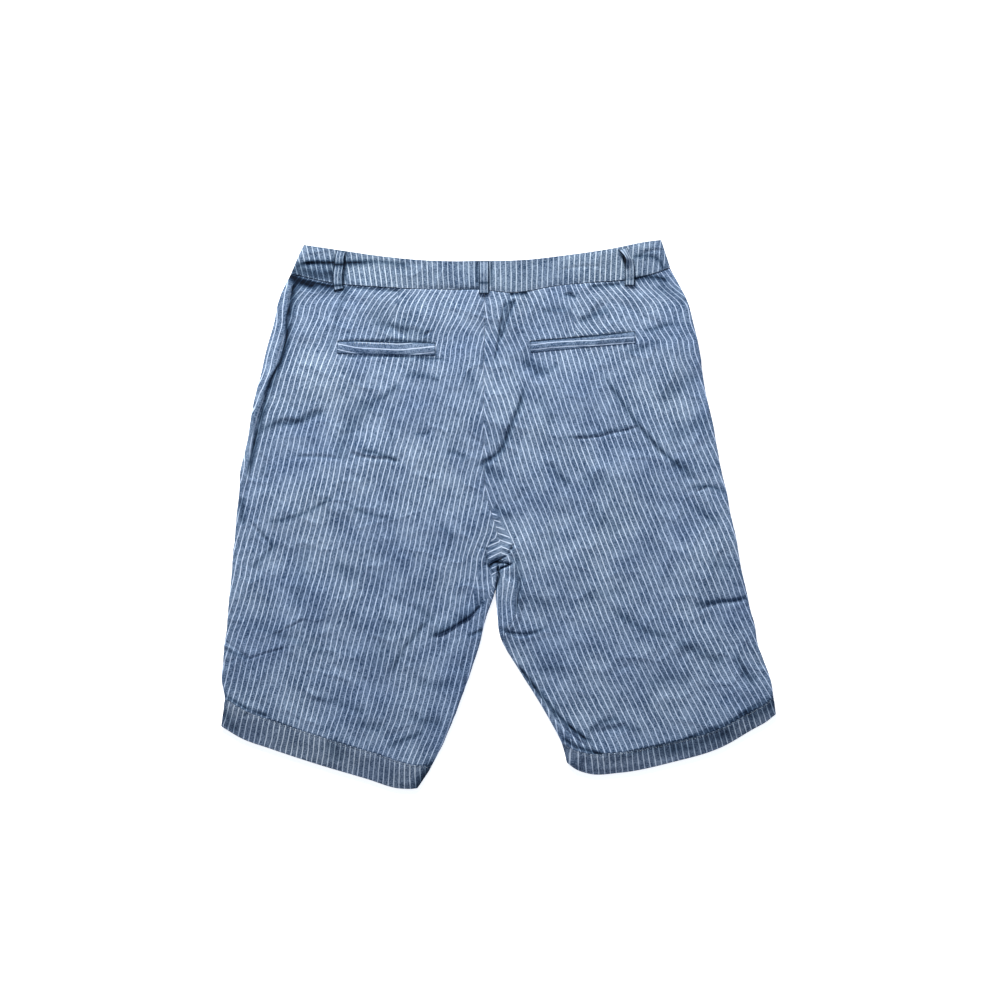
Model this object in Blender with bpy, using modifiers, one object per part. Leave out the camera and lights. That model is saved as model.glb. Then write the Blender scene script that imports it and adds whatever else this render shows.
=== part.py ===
"""Bermuda shorts lying flat, back uppermost, waist towards +Y.

Sizes and places are in millimetres and are turned into metres when a mesh is made.
Each leg is a flattened tube of cloth. A row of sizes crosses it from the side edge to the
centre seam, or to the inseam below the fork, and the tube is followed round each row by its
arc: 0 is the middle of the side edge, negative arcs run over the top (the back of the garment)
and positive arcs run underneath (the front). Every piece is a wall about that middle surface.
"""

import math

import bmesh
import bpy
import numpy as np

MM = 0.001
ORIGIN = np.array((0.0, 1.1, 0.0))  # the middle of the garment's box, on the floor

# Cloth and sewing
CLOTH = 1.0
HEM_CLOTH = 1.6
BAND_CLOTH = 1.4
LOOP_CLOTH = 1.2
WELT_CLOTH = 1.2
SEAM = 0.3
EDGE_SOFTNESS = 0.8  # how much wider than high the roll of a folded edge is
TURNED_HEIGHT = 2.0  # of the front panel where it is turned onto the back
TURNED_SLOPE = 0.14  # height of a narrow turned strip, for each millimetre of its width

# The side edge of each leg from the waist seam to the hem's fold: x, y, and the width of the
# front panel that is turned onto the top there.
LEFT_SIDE = (
    (-249.0, 290.0, 5.0),
    (-263.0, 258.5, 12.5),
    (-270.0, 228.5, 17.5),
    (-278.5, 198.5, 17.5),
    (-285.0, 168.5, 15.5),
    (-291.5, 142.0, 11.5),
    (-296.5, 114.5, 7.0),
    (-302.0, 84.5, 6.0),
    (-309.0, 54.5, 10.0),
    (-311.0, 27.0, 5.0),
    (-314.0, 3.0, 0.0),
    (-316.0, -24.5, 0.0),
    (-318.0, -45.0, 0.0),
    (-319.0, -66.5, 0.0),
    (-321.0, -89.5, 0.0),
    (-323.0, -111.0, 0.0),
    (-325.0, -132.5, 0.0),
    (-328.0, -155.5, 0.0),
    (-330.0, -177.0, 0.0),
    (-332.0, -198.5, 0.0),
    (-328.5, -219.5, 0.0),
    (-332.5, -252.5, 0.0),
)
RIGHT_SIDE = (
    (206.0, 297.5, 0.0),
    (225.0, 262.0, 0.0),
    (234.0, 232.0, 0.0),
    (240.5, 202.0, 0.0),
    (245.0, 172.0, 0.0),
    (250.0, 142.0, 0.0),
    (257.0, 113.5, 0.0),
    (262.0, 84.5, 0.0),
    (267.5, 54.5, 0.0),
    (274.0, 28.0, 0.0),
    (278.5, 3.0, 0.0),
    (284.5, -24.5, 0.0),
    (287.5, -45.0, 0.0),
    (292.0, -66.5, 0.0),
    (297.5, -89.5, 0.0),
    (302.0, -111.0, 0.0),
    (308.0, -132.5, 0.0),
    (311.0, -153.0, 0.0),
    (319.0, -174.5, 0.0),
    (326.5, -196.0, 0.0),
    (330.0, -218.0, 0.0),
    (332.5, -238.0, 0.0),
)
# The centre seam from the waist to the fork, and on to where the legs part: x, y.
CENTRE = (
    (-17.0, 270.0),
    (-16.5, 246.5),
    (-16.5, 220.0),
    (-17.5, 191.5),
    (-17.5, 162.5),
    (-17.5, 135.0),
    (-17.5, 107.5),
    (-17.0, 78.5),
    (-17.0, 51.0),
    (-14.5, 24.5),
    (-8.5, 3.0),
    (0.0, -24.5),
    (4.0, -41.5),
    (0.0, -65.5),
    (-3.5, -89.5),
)
# The inseam edge of each leg from there to the hem's fold: x, y.
LEFT_INSEAM = (
    (-15.0, -124.0),
    (-24.0, -160.0),
    (-36.0, -195.0),
    (-49.0, -230.0),
    (-63.0, -266.0),
    (-80.0, -300.5),
    (-98.0, -328.0),
)
RIGHT_INSEAM = (
    (-1.5, -119.5),
    (3.5, -149.5),
    (21.5, -180.5),
    (41.0, -210.5),
    (59.0, -240.5),
    (75.0, -270.5),
    (82.0, -296.0),
)
# Rows where the front panel is turned onto the top along the inseam: row, width.
LEFT_INSEAM_TURNED = ((13, 0.0), (14, 6.0), (15, 0.0))
RIGHT_INSEAM_TURNED = (
    (13, 0.0),
    (14, 25.0),
    (15, 22.0),
    (16, 2.0),
    (17, 0.0),
    (18, 6.0),
    (19, 11.0),
    (20, 22.0),
    (21, 8.0),
)
FORK_ROW = 12  # the centre seam ends here
LEGS_ROW = 14  # the legs part here
HEM_ROW = 20  # the hem is stitched here
LAST_ROW = 21

# The waist seam and the top of the waistband: x, y.
WAIST_SEAM = (
    (-249.0, 290.0),
    (-201.0, 279.0),
    (-148.0, 274.0),
    (-90.0, 271.5),
    (-26.0, 270.5),
    (26.0, 267.5),
    (60.0, 274.0),
    (110.0, 279.0),
    (151.0, 282.5),
    (190.0, 291.5),
    (206.0, 297.5),
)
WAIST_TOP = (
    (-233.5, 324.5),
    (-212.0, 321.5),
    (-182.0, 317.0),
    (-145.0, 311.5),
    (-88.0, 306.0),
    (-27.0, 305.0),
    (26.0, 306.0),
    (77.0, 311.5),
    (130.0, 319.0),
    (182.0, 329.0),
    (195.0, 330.5),
)
WAIST_TOP_CENTRE = -17.5
WAIST_BLEND_ROWS = 4.0  # the rows below the waist that still follow its seam

# How far a row bows towards the hem, by its share of the way from the side to the inseam.
LEFT_HEM_BOW = ((0.0, 0.0), (0.1, 6.5), (0.25, 8.0), (0.5, 8.5), (0.75, 7.0), (0.9, 6.5), (1.0, 0.0))
RIGHT_HEM_BOW = (
    (0.0, 0.0),
    (0.05, 7.0),
    (0.1, 11.0),
    (0.25, 24.0),
    (0.5, 29.0),
    (0.75, 27.0),
    (0.9, 19.0),
    (0.96, 10.0),
    (1.0, 0.0),
)

# The hollow between the two layers, by height on the garment: y, gap.
HOLLOW = (
    (-330.0, 1.0),
    (-290.0, 1.3),
    (-220.0, 1.7),
    (-120.0, 2.1),
    (-40.0, 2.4),
    (60.0, 2.3),
    (180.0, 1.9),
    (262.0, 1.5),
    (290.0, 1.0),
    (331.0, 0.7),
)
HEM_HOLLOW_LOSS = 0.4

# Broad swells of the back: the ends of the ridge, its half width and its height.
SWELLS = (
    ("left_thigh", -84.0, -132.0, -34.0, -94.0, 18.0, 1.0),
    ("right_seat", 84.0, 104.0, 172.0, 121.0, 20.0, 0.9),
    ("right_of_centre", 22.0, 236.0, 2.0, 172.0, 16.0, 0.8),
    ("right_knee", 226.0, -88.0, 284.0, -80.0, 18.0, 0.9),
    ("left_knee", -250.0, -120.0, -176.0, -84.0, 20.0, 0.7),
    ("left_seat", -176.0, 74.0, -104.0, 70.0, 20.0, 0.7),
)

# The front closure, under the garment
CENTRE_FRONT = -17.0
LAP = 30.0  # how far the left end of the waistband runs on below the right end
LAP_RISE = BAND_CLOTH + SEAM
LAP_CLEAR = 0.9  # the lap's lower edge stays this far above the waist seam
BUTTON_X = CENTRE_FRONT + 0.5 * LAP
BUTTON_RADIUS = 7.5
BUTTON_THICKNESS = 2.4
BUTTON_HOLE_RADIUS = 0.9
BUTTON_HOLE_PITCH = 3.2
BUTTON_DISH = 0.6
FRONT_LOOP_OFFSET = 95.0
LOOP_WIDTH = 11.5
LOOP_TAIL = 7.0  # how far a front loop runs below the waist seam

# What lies between the front and the floor lifts it: x, half width of the flat, slope, height.
LIFTS = (
    (BUTTON_X, BUTTON_RADIUS + 12.0, 30.0, BUTTON_THICKNESS + SEAM),
    (CENTRE_FRONT - FRONT_LOOP_OFFSET, 0.5 * LOOP_WIDTH + 32.0, 26.0, LOOP_CLOTH + SEAM),
    (CENTRE_FRONT + FRONT_LOOP_OFFSET, 0.5 * LOOP_WIDTH + 32.0, 26.0, LOOP_CLOTH + SEAM),
)
LIFT_FLAT_BELOW_SEAM = 14.0
LIFT_FADE_BELOW_SEAM = 56.0

# Back loops: x and y of the middle line, clearance above the cloth, turn about its own line.
BACK_LOOPS = {
    "belt_loop_back_left": (
        (-188.5, 317.0, 0.0, 0.0),
        (-190.5, 309.0, 0.9, 0.0),
        (-191.0, 299.5, 0.5, 0.0),
        (-192.5, 288.5, 1.1, 0.0),
        (-192.5, 278.0, 0.4, 0.0),
        (-191.0, 270.5, 0.0, 0.0),
    ),
    "belt_loop_back_center": (
        (-17.5, 304.5, 0.0, 0.0),
        (-17.5, 298.0, 1.0, 0.0),
        (-17.5, 290.0, 1.6, 0.0),
        (-17.5, 282.0, 1.0, 0.0),
        (-17.5, 275.0, 0.3, 0.0),
        (-17.5, 265.5, 0.0, 0.0),
    ),
    "belt_loop_back_right": (
        (149.0, 320.0, 0.0, 0.0),
        (153.0, 312.5, 0.2, 38.0),
        (156.5, 303.0, 0.4, 68.0),
        (157.5, 292.0, 0.4, 66.0),
        (157.5, 284.0, 0.3, 34.0),
        (157.0, 276.5, 0.0, 0.0),
    ),
}

# Welts: middle x and y, length, height, and the angle it rises to the right.
WELT_CLEAR = 0.45
WELTS = {
    "pocket_welt_left": (-134.5, 200.5, 117.5, 15.5, -1.2),
    "pocket_welt_right": (101.0, 208.0, 126.0, 14.0, 5.2),
}

# How finely the walls are cut
END_STEPS = (0.0, 0.9, 1.9, 3.1, 5.5, 10.0, 18.0)  # from a back panel's long edges inwards
MIDDLE_STEPS = 7
TURNED_STEPS = 4
EDGE_STEPS = 5
LEAST_STEP = 0.35
BAND_ROWS = (0.0, 0.25, 0.5, 0.75, 1.0)
HEM_ROWS = (0.0, 0.4, 0.8, 1.0)
SEAM_SHARE = 0.008  # of a row, left open on each side of the waist seam and the hem's stitching
HEM_SHARE = 0.021  # of a row, left open on the hem below its stitching
LAP_STEPS = (0.3, 0.65, 1.0)
LOOP_STEPS = 12
LOOP_FLAT_STEPS = 4
LOOP_COLUMNS = 3
WELT_STEPS = (14, 2)
BUTTON_SIDES = 32
BUTTON_HOLE_SIDES = 10
PROBE = 0.02  # step for slopes

# Colours as seen, roughness
CHAMBRAY = (0.130, 0.205, 0.330)
CHAMBRAY_GREYER = (0.115, 0.165, 0.245)
SHELL_BUTTON = (0.050, 0.075, 0.120)
CLOTH_ROUGHNESS = 0.88
BUTTON_ROUGHNESS = 0.35


def along(rows, at):
    """A smooth curve through evenly counted rows, read at a row number with a fraction."""
    rows = np.asarray(rows, float)
    at = np.clip(np.asarray(at, float), 0.0, len(rows) - 1.0)
    low = np.minimum(at.astype(int), len(rows) - 2)
    f = (at - low)[..., None]
    before = rows[np.maximum(low - 1, 0)]
    start = rows[low]
    end = rows[low + 1]
    after = rows[np.minimum(low + 2, len(rows) - 1)]
    first = 0.5 * (end - before)
    last = 0.5 * (after - start)
    cubic = 2.0 * (start - end) + first + last
    square = 3.0 * (end - start) - 2.0 * first - last
    return start + f * (first + f * (square + f * cubic))


def lookup(table, at):
    """A smooth reading of a two-column table, with slopes from its neighbours."""
    x, y = np.asarray(table, float).T
    slope = np.gradient(y, x)
    at = np.clip(at, x[0], x[-1])
    i = np.clip(np.searchsorted(x, at) - 1, 0, len(x) - 2)
    span = x[i + 1] - x[i]
    f = (at - x[i]) / span
    return (
        y[i] * (1 + 2 * f) * (1 - f) ** 2
        + slope[i] * span * f * (1 - f) ** 2
        + y[i + 1] * f * f * (3 - 2 * f)
        + slope[i + 1] * span * f * f * (f - 1)
    )


def ease(f):
    f = np.clip(f, 0.0, 1.0)
    return f * f * (3.0 - 2.0 * f)


def flat_top(distance, half, slope):
    return 1.0 - ease((np.abs(distance) - half) / slope)


def below_seam(x, y):
    """1 on the waistband and just below its seam, falling to 0 on the panels."""
    depth = lookup(WAIST_SEAM, x) - y
    span = LIFT_FADE_BELOW_SEAM - LIFT_FLAT_BELOW_SEAM
    return 1.0 - ease((depth - LIFT_FLAT_BELOW_SEAM) / span)


def lift(x, y):
    """How far the front is lifted off the floor by what lies below it."""
    highest = np.zeros(np.broadcast(x, y).shape)
    for middle, half, slope, height in LIFTS:
        highest = np.maximum(highest, height * flat_top(x - middle, half, slope))
    return highest * below_seam(x, y)


def lap_swell(x, y):
    """How far the lapped ends of the waistband lift the back."""
    middle = CENTRE_FRONT + 0.5 * LAP
    return LAP_RISE * flat_top(x - middle, 0.5 * LAP + 10.0, 26.0) * below_seam(x, y)


def lap_raise(x):
    """How far the upper end of the waistband rises over the lower one."""
    return LAP_RISE * ease((CENTRE_FRONT + LAP + 22.0 - x) / 16.0)


def swells(x, y):
    height = np.zeros(np.broadcast(x, y).shape)
    for _, x0, y0, x1, y1, half, rise in SWELLS:
        length = math.hypot(x1 - x0, y1 - y0)
        ux, uy = (x1 - x0) / length, (y1 - y0) / length
        run = (x - x0) * ux + (y - y0) * uy
        off = (x - x0) * uy - (y - y0) * ux
        beyond = np.maximum(np.maximum(-run, run - length), 0.0)
        height = height + rise * np.exp(-(off**2 + beyond**2) / half**2)
    return height


def front_level(x, y, cloth):
    """Middle surface of the layer on the floor."""
    return 0.5 * cloth + lift(x, y)


def back_level(x, y, cloth, hollow_loss=0.0):
    """Middle surface of the upper layer."""
    hollow = lookup(HOLLOW, y) - hollow_loss + swells(x, y)
    return 1.5 * cloth + lift(x, y) + lap_swell(x, y) + hollow


class Leg:
    """One leg's rows, from the waist seam to the hem's fold."""

    def __init__(self, side, inseam, inseam_turned, bow):
        self.side = np.array(side)
        self.inner = np.array(CENTRE + inseam)
        self.inner_turned = np.interp(np.arange(LAST_ROW + 1), *np.array(inseam_turned).T)
        self.bow = bow
        self.hand = math.copysign(1.0, side[0][0])

    def plan(self, share, row):
        """The place a share of the way from the side edge to the inner edge of a row."""
        start = along(self.side[:, :2], row)
        end = along(self.inner, row)
        place = start + (end - start) * share[..., None]
        x, y = place[..., 0], place[..., 1]
        near_waist = np.clip(1.0 - row / WAIST_BLEND_ROWS, 0.0, 1.0) ** 2
        chord_start, chord_end = self.side[0, :2], self.inner[0]
        chord_share = (x - chord_start[0]) / (chord_end[0] - chord_start[0])
        chord = chord_start[1] + (chord_end[1] - chord_start[1]) * chord_share
        y = y + near_waist * (lookup(WAIST_SEAM, x) - chord)
        near_hem = np.clip((row - FORK_ROW) / (HEM_ROW - FORK_ROW), 0.0, 1.0) ** 2
        y = y - near_hem * lookup(self.bow, share)
        return x, y

    def curl(self, row):
        """0 where a row ends at the centre seam, 1 where it turns under at the inseam."""
        return ease(row - FORK_ROW)

    def turned(self, row):
        return np.maximum(along(self.side[:, 2:], row)[..., 0], 0.0)

    def inner_turned_at(self, row):
        return np.maximum(along(self.inner_turned[:, None], row)[..., 0], 0.0)

    def edge(self, row, cloth, hollow_loss=0.0):
        """Width, height and quarter arc of the roll at the side edge."""
        x, y = np.moveaxis(along(self.side[:, :2], row), -1, 0)
        height = 0.5 * (back_level(x, y, cloth, hollow_loss) - front_level(x, y, cloth))
        width = height + EDGE_SOFTNESS
        return width, height, 0.5 * math.pi * np.sqrt(0.5 * (width**2 + height**2))

    def span(self, row, cloth, hollow_loss=0.0):
        """Length of a row, the arc of one of its layers, and its insets."""
        start = along(self.side[:, :2], row)
        end = along(self.inner, row)
        length = np.hypot(*np.moveaxis(end - start, -1, 0))
        width, _, quarter = self.edge(row, cloth, hollow_loss)
        turn = 0.5 * math.pi * self.curl(row)
        shared = 0.5 * SEAM * (1.0 - ease(row - LEGS_ROW))
        inner_inset = 0.5 * cloth * np.sin(turn) + shared
        flat = length - 0.5 * cloth - inner_inset - width - width * np.sin(turn)
        return length, quarter + flat + quarter * self.curl(row), width, quarter, flat

    def middle(self, row, arc, cloth, hollow_loss=0.0, level=None, at=None):
        """Points of the middle surface. `level` and `at` stand in for the layers' heights and
        for the plan where a piece has its own."""
        length, total, width, quarter, flat = self.span(row, cloth, hollow_loss)
        curl = self.curl(row)
        folds_back = (arc > total) & (curl > 0.5)
        below = (arc > 0.0) & ~folds_back
        run = np.where(folds_back, 2.0 * total - arc, np.abs(arc))
        closes = (arc < 0.0) & (run > total) & (curl > 0.5)
        run = np.where(closes, 2.0 * total - run, run)
        below = below | closes
        at_side = 0.5 * math.pi * np.clip(run / quarter, 0.0, 1.0)
        past = np.where(curl > 0.0, run - quarter - flat, 0.0)
        at_inner = 0.5 * math.pi * np.clip(past / quarter, 0.0, curl)
        straight = np.where(curl > 0.0, np.clip(run - quarter, 0.0, flat), run - quarter)
        straight = np.where(run < quarter, 0.0, straight)
        distance = width * (1.0 - np.cos(at_side)) + straight + width * np.sin(at_inner)
        share = (0.5 * cloth + distance) / length
        x, y = (at or self.plan)(share, row)
        low, high = (level or self.levels)(x, y, cloth, hollow_loss)
        reach = np.sin(at_side) * np.cos(at_inner)
        half = 0.5 * (high - low) * reach
        z = 0.5 * (high + low) + np.where(below, -half, half)
        z = z + np.where(below, 0.0, self.turned_rise(row, run, total))
        return np.stack([x, y, z], axis=-1)

    @staticmethod
    def levels(x, y, cloth, hollow_loss):
        return front_level(x, y, cloth), back_level(x, y, cloth, hollow_loss)

    def turned_rise(self, row, run, total):
        """The roll of the front panel where it is turned onto the top."""
        rise = np.zeros(run.shape)
        ends = ((self.turned(row), run), (self.inner_turned_at(row), total - run))
        for strip, from_edge in ends:
            strip_safe = np.maximum(strip, 0.01)
            height = np.minimum(TURNED_HEIGHT, TURNED_SLOPE * strip)
            share = from_edge / strip_safe
            bulge = np.sin(0.5 * math.pi * np.clip(share, 0.0, 1.0)) ** 2
            rise = rise + height * bulge * (1.0 - ease((share - 1.0) * strip_safe / 9.0))
        return rise


LEFT = Leg(LEFT_SIDE, LEFT_INSEAM, LEFT_INSEAM_TURNED, LEFT_HEM_BOW)
RIGHT = Leg(RIGHT_SIDE, RIGHT_INSEAM, RIGHT_INSEAM_TURNED, RIGHT_HEM_BOW)


def placed(points):
    return (points - ORIGIN) * MM


def plain_material(name, colour, roughness):
    material = bpy.data.materials.new(name)
    material.use_nodes = True
    shader = material.node_tree.nodes["Principled BSDF"]
    shader.inputs["Base Color"].default_value = (*colour, 1.0)
    shader.inputs["Roughness"].default_value = roughness
    shader.inputs["Metallic"].default_value = 0.0
    return material


def wall(name, middle, outward, cloth, colour, closed=False):
    """A closed wall about a grid of middle points, moved half the cloth each way."""
    rows, columns, _ = middle.shape
    outer = middle + 0.5 * cloth * outward
    inner = middle - 0.5 * cloth * outward
    vertices = placed(np.concatenate([outer.reshape(-1, 3), inner.reshape(-1, 3)]))
    under = rows * columns
    cells = columns if closed else columns - 1
    faces = []
    for r in range(rows - 1):
        for c in range(cells):
            a = r * columns + c
            b = r * columns + (c + 1) % columns
            d, e = a + columns, b + columns
            faces.append((a, b, e, d))
            faces.append((under + a, under + d, under + e, under + b))
    for c in range(cells):
        a, b = c, (c + 1) % columns
        faces.append((a, under + a, under + b, b))
        a, b = a + (rows - 1) * columns, b + (rows - 1) * columns
        faces.append((a, b, under + b, under + a))
    if not closed:
        for r in range(rows - 1):
            a, d = r * columns, (r + 1) * columns
            faces.append((a, d, under + d, under + a))
            a, d = a + columns - 1, d + columns - 1
            faces.append((a, under + a, under + d, d))
    if signed_volume(vertices, faces) < 0.0:
        faces = [face[::-1] for face in faces]
    mesh = bpy.data.meshes.new(name)
    mesh.from_pydata([tuple(v) for v in vertices], [], faces)
    mesh.materials.append(plain_material(name, colour, CLOTH_ROUGHNESS))
    mesh.shade_smooth()
    return bpy.data.objects.new(name, mesh)


def signed_volume(vertices, faces):
    corners = np.array([(f[0], f[i], f[i + 1]) for f in faces for i in range(1, len(f) - 1)])
    return np.linalg.det(vertices[corners]).sum()


def outward(surface, row, arc, upwards):
    """Unit normals of a surface of (row, arc). `upwards` is +1 or -1 for its hand."""
    across = surface(row, arc + PROBE) - surface(row, arc - PROBE)
    down = surface(row + 0.2 * PROBE, arc) - surface(row - 0.2 * PROBE, arc)
    normal = np.cross(across, down)
    return upwards * normal / np.linalg.norm(normal, axis=-1, keepdims=True)


def back_arcs(leg, row, cloth):
    """Arcs of a back panel's columns, from its side seam to its inner seam."""
    total = leg.span(row, cloth)[1]
    first = leg.turned(row) + 0.5 * SEAM
    last = total - leg.inner_turned_at(row) - 0.5 * SEAM * leg.curl(row)
    steps = np.array(END_STEPS)
    fill = np.linspace(0.0, 1.0, MIDDLE_STEPS + 2)[1:-1]
    near_side = first[:, None] + steps
    near_inner = last[:, None] - steps[::-1]
    start, end = near_side[:, -1:], near_inner[:, :1]
    return -np.hstack([near_side, start + (end - start) * fill, near_inner])


def turned_columns(strip, quarter):
    """Arcs from the end of a turned strip to just past the folded edge."""
    steps = np.arange(TURNED_STEPS + 1)
    reach = np.maximum(strip - quarter, 0.0)[:, None]
    on_top = np.maximum(reach * steps / TURNED_STEPS, LEAST_STEP * steps)
    start = -(strip - 0.5 * SEAM)[:, None]
    round_edge = np.linspace(0.0, 1.0, EDGE_STEPS + 1)[1:]
    last_on_top = start + on_top[:, -1:]
    past = last_on_top + (quarter[:, None] - last_on_top) * round_edge
    return np.hstack([start + on_top, past])


def front_arcs(leg, row, cloth):
    """Arcs of a front panel's columns, from its side seam under the leg to its inner seam."""
    _, total, _, quarter, _ = leg.span(row, cloth)
    curl = leg.curl(row)[:, None]
    near_side = turned_columns(leg.turned(row), quarter)
    round_inner = total[:, None] - turned_columns(leg.inner_turned_at(row), quarter)[:, ::-1]
    count = near_side.shape[1]
    flat_inner = total[:, None] - LEAST_STEP * 4.0 * np.arange(count)[::-1]
    near_inner = round_inner * curl + flat_inner * (1.0 - curl)
    start, end = near_side[:, -1:], near_inner[:, :1]
    fill = np.linspace(0.0, 1.0, MIDDLE_STEPS)[1:-1]
    return np.hstack([near_side, start + (end - start) * fill, near_inner])


def panel(name, leg, arcs):
    """A front or back panel, from the waist seam to the hem's stitching."""
    rows = np.arange(HEM_ROW + 1, dtype=float)
    rows[0] += SEAM_SHARE
    rows[-1] -= SEAM_SHARE
    arc = arcs(leg, rows, CLOTH)
    row = np.broadcast_to(rows[:, None], arc.shape)

    def surface(r, a):
        return leg.middle(r, a, CLOTH)

    normals = outward(surface, row, arc, leg.hand)
    return wall(name, surface(row, arc), normals, CLOTH, CHAMBRAY)


def hem(name, leg):
    """The turned-up hem: a flattened tube of double cloth below the stitching."""
    rows = HEM_ROW + np.array(HEM_ROWS)
    rows[0] += HEM_SHARE
    at_stitching = np.full(1, float(HEM_ROW))
    total_there = leg.span(at_stitching, CLOTH)[1]
    back = back_arcs(leg, at_stitching, CLOTH) / total_there
    front = front_arcs(leg, at_stitching, CLOTH) / total_there
    shares = np.concatenate([back[0][::-1], front[0]])
    shares = np.sort(np.where(shares > 1.0, shares - 2.0, shares))
    total = leg.span(rows, HEM_CLOTH, HEM_HOLLOW_LOSS)[1]
    arc = total[:, None] * shares
    row = np.broadcast_to(rows[:, None], arc.shape)

    def surface(r, a):
        return leg.middle(r, a, HEM_CLOTH, HEM_HOLLOW_LOSS)

    normals = outward(surface, row, arc, leg.hand)
    return wall(name, surface(row, arc), normals, HEM_CLOTH, CHAMBRAY_GREYER, closed=True)


def band_arcs(leg):
    """Arcs of the waistband's columns: those of the panels sewn to it."""
    row = np.zeros(1)
    arcs = np.hstack([back_arcs(leg, row, CLOTH), front_arcs(leg, row, CLOTH)])[0]
    shares = np.sort(arcs) / leg.span(row, CLOTH)[1]
    return shares * leg.span(row, BAND_CLOTH)[1]


def band_surface(leg):
    """Middle surface of one leg's half of the waistband, by its share of the height."""
    top_x = WAIST_TOP[0][0] if leg.hand < 0.0 else WAIST_TOP[-1][0]
    laps_over = leg.hand > 0.0

    def levels(x, y, cloth, hollow_loss):
        low, high = leg.levels(x, y, cloth, hollow_loss)
        return low + laps_over * lap_raise(x), high

    def surface(height, arc):
        def place(share, row):
            seam_x, seam_y = leg.plan(share, row)
            x = top_x + (WAIST_TOP_CENTRE - top_x) * share
            y = lookup(WAIST_TOP, x)
            seam_y = seam_y + LAP_CLEAR * ease(20.0 * (share - 1.0))
            return seam_x + (x - seam_x) * height, seam_y + (y - seam_y) * height

        return leg.middle(np.zeros(arc.shape), arc, BAND_CLOTH, level=levels, at=place)

    return surface


def waistband():
    """One strip: from its lower end at the centre front, round the back, to its upper end."""
    heights = np.array(BAND_ROWS)
    heights[0] += SEAM_SHARE
    left, right = band_arcs(LEFT), band_arcs(RIGHT)
    left = np.concatenate([left, left[-1] + np.array(LAP_STEPS) * LAP])[::-1]
    points, normals = [], []
    for leg, arcs in ((LEFT, left), (RIGHT, right[1:])):
        height, arc = np.broadcast_arrays(heights[:, None], arcs)
        surface = band_surface(leg)
        points.append(surface(height, arc))
        normals.append(outward(surface, height, arc, -leg.hand))
    return wall("waistband", np.hstack(points), np.hstack(normals), BAND_CLOTH, CHAMBRAY)


def strip(name, line, tilt, colour):
    """A belt loop's strip of cloth, swept along a line and turned about it by the tilt."""
    run = np.gradient(line, axis=0)
    run /= np.linalg.norm(run, axis=1, keepdims=True)
    level = np.cross(run, (0.0, 0.0, 1.0))
    level /= np.linalg.norm(level, axis=1, keepdims=True)
    up = np.cross(level, run)
    turn = np.radians(tilt)[:, None]
    across = level * np.cos(turn) + up * np.sin(turn)
    normal = up * np.cos(turn) - level * np.sin(turn)
    places = np.linspace(-0.5, 0.5, LOOP_COLUMNS) * LOOP_WIDTH
    middle = line[:, None] + across[:, None] * places[None, :, None]
    normals = np.broadcast_to(normal[:, None], middle.shape)
    return wall(name, middle, normals, LOOP_CLOTH, colour)


def back_loop(name, rows):
    """A loop on the back bows off the waistband between its two tacked ends."""
    x, y, clear, tilt = along(rows, np.linspace(0.0, len(rows) - 1.0, LOOP_STEPS)).T
    on_band = back_level(x, y, BAND_CLOTH) + 0.5 * BAND_CLOTH
    reach = 0.5 * LOOP_WIDTH * np.abs(np.sin(np.radians(tilt)))
    z = on_band + SEAM + 0.5 * LOOP_CLOTH + np.maximum(clear, 0.0) + reach
    return strip(name, np.stack([x, y, z], axis=1), tilt, CHAMBRAY)


def front_loop(name, x):
    """A loop on the front lies flat between the waistband and the floor."""
    top = lookup(WAIST_TOP, x) - SEAM
    y = np.linspace(top, lookup(WAIST_SEAM, x) - LOOP_TAIL, LOOP_FLAT_STEPS)
    line = np.stack([np.full(len(y), x), y, np.full(len(y), 0.5 * LOOP_CLOTH)], axis=1)
    return strip(name, line, np.zeros(len(y)), CHAMBRAY)


def welt(name, x, y, length, height, angle):
    """A welt lies on its back panel and takes its form from it."""
    across = np.linspace(-0.5, 0.5, WELT_STEPS[0] + 1) * length
    down = np.linspace(-0.5, 0.5, WELT_STEPS[1] + 1) * height
    turn = math.radians(angle)

    def surface(v, u):
        px = x + u * math.cos(turn) - v * math.sin(turn)
        py = y + u * math.sin(turn) + v * math.cos(turn)
        pz = back_level(px, py, CLOTH) + 0.5 * CLOTH + WELT_CLEAR + 0.5 * WELT_CLOTH
        return np.stack([px, py, pz], axis=-1)

    v, u = np.broadcast_arrays(down[:, None], across)
    return wall(name, surface(v, u), outward(surface, v, u, 1.0), WELT_CLOTH, CHAMBRAY)


def button(name, x, y):
    """A four-hole button, its dished face down on the floor."""
    radius, thick = BUTTON_RADIUS, BUTTON_THICKNESS
    profile = (
        (0.0, thick),
        (radius - 0.9, thick),
        (radius, thick - 0.6),
        (radius, 0.7),
        (radius - 0.6, 0.0),
        (radius - 2.1, 0.0),
        (radius - 2.9, BUTTON_DISH),
        (0.0, BUTTON_DISH),
    )
    mesh = bpy.data.meshes.new(name)
    edges = [(i, i + 1) for i in range(len(profile) - 1)]
    mesh.from_pydata([(r * MM, 0.0, z * MM) for r, z in profile], edges, [])
    mesh.materials.append(plain_material(name, SHELL_BUTTON, BUTTON_ROUGHNESS))
    obj = bpy.data.objects.new(name, mesh)
    obj.location = placed(np.array((x, y, 0.0)))
    screw = obj.modifiers.new("Turned", "SCREW")
    screw.steps = screw.render_steps = BUTTON_SIDES
    screw.use_merge_vertices = True
    screw.merge_threshold = 0.00001
    holes = obj.modifiers.new("Holes", "BOOLEAN")
    holes.operand_type = "COLLECTION"
    holes.collection = hole_cutters(x, y)
    return obj


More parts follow.
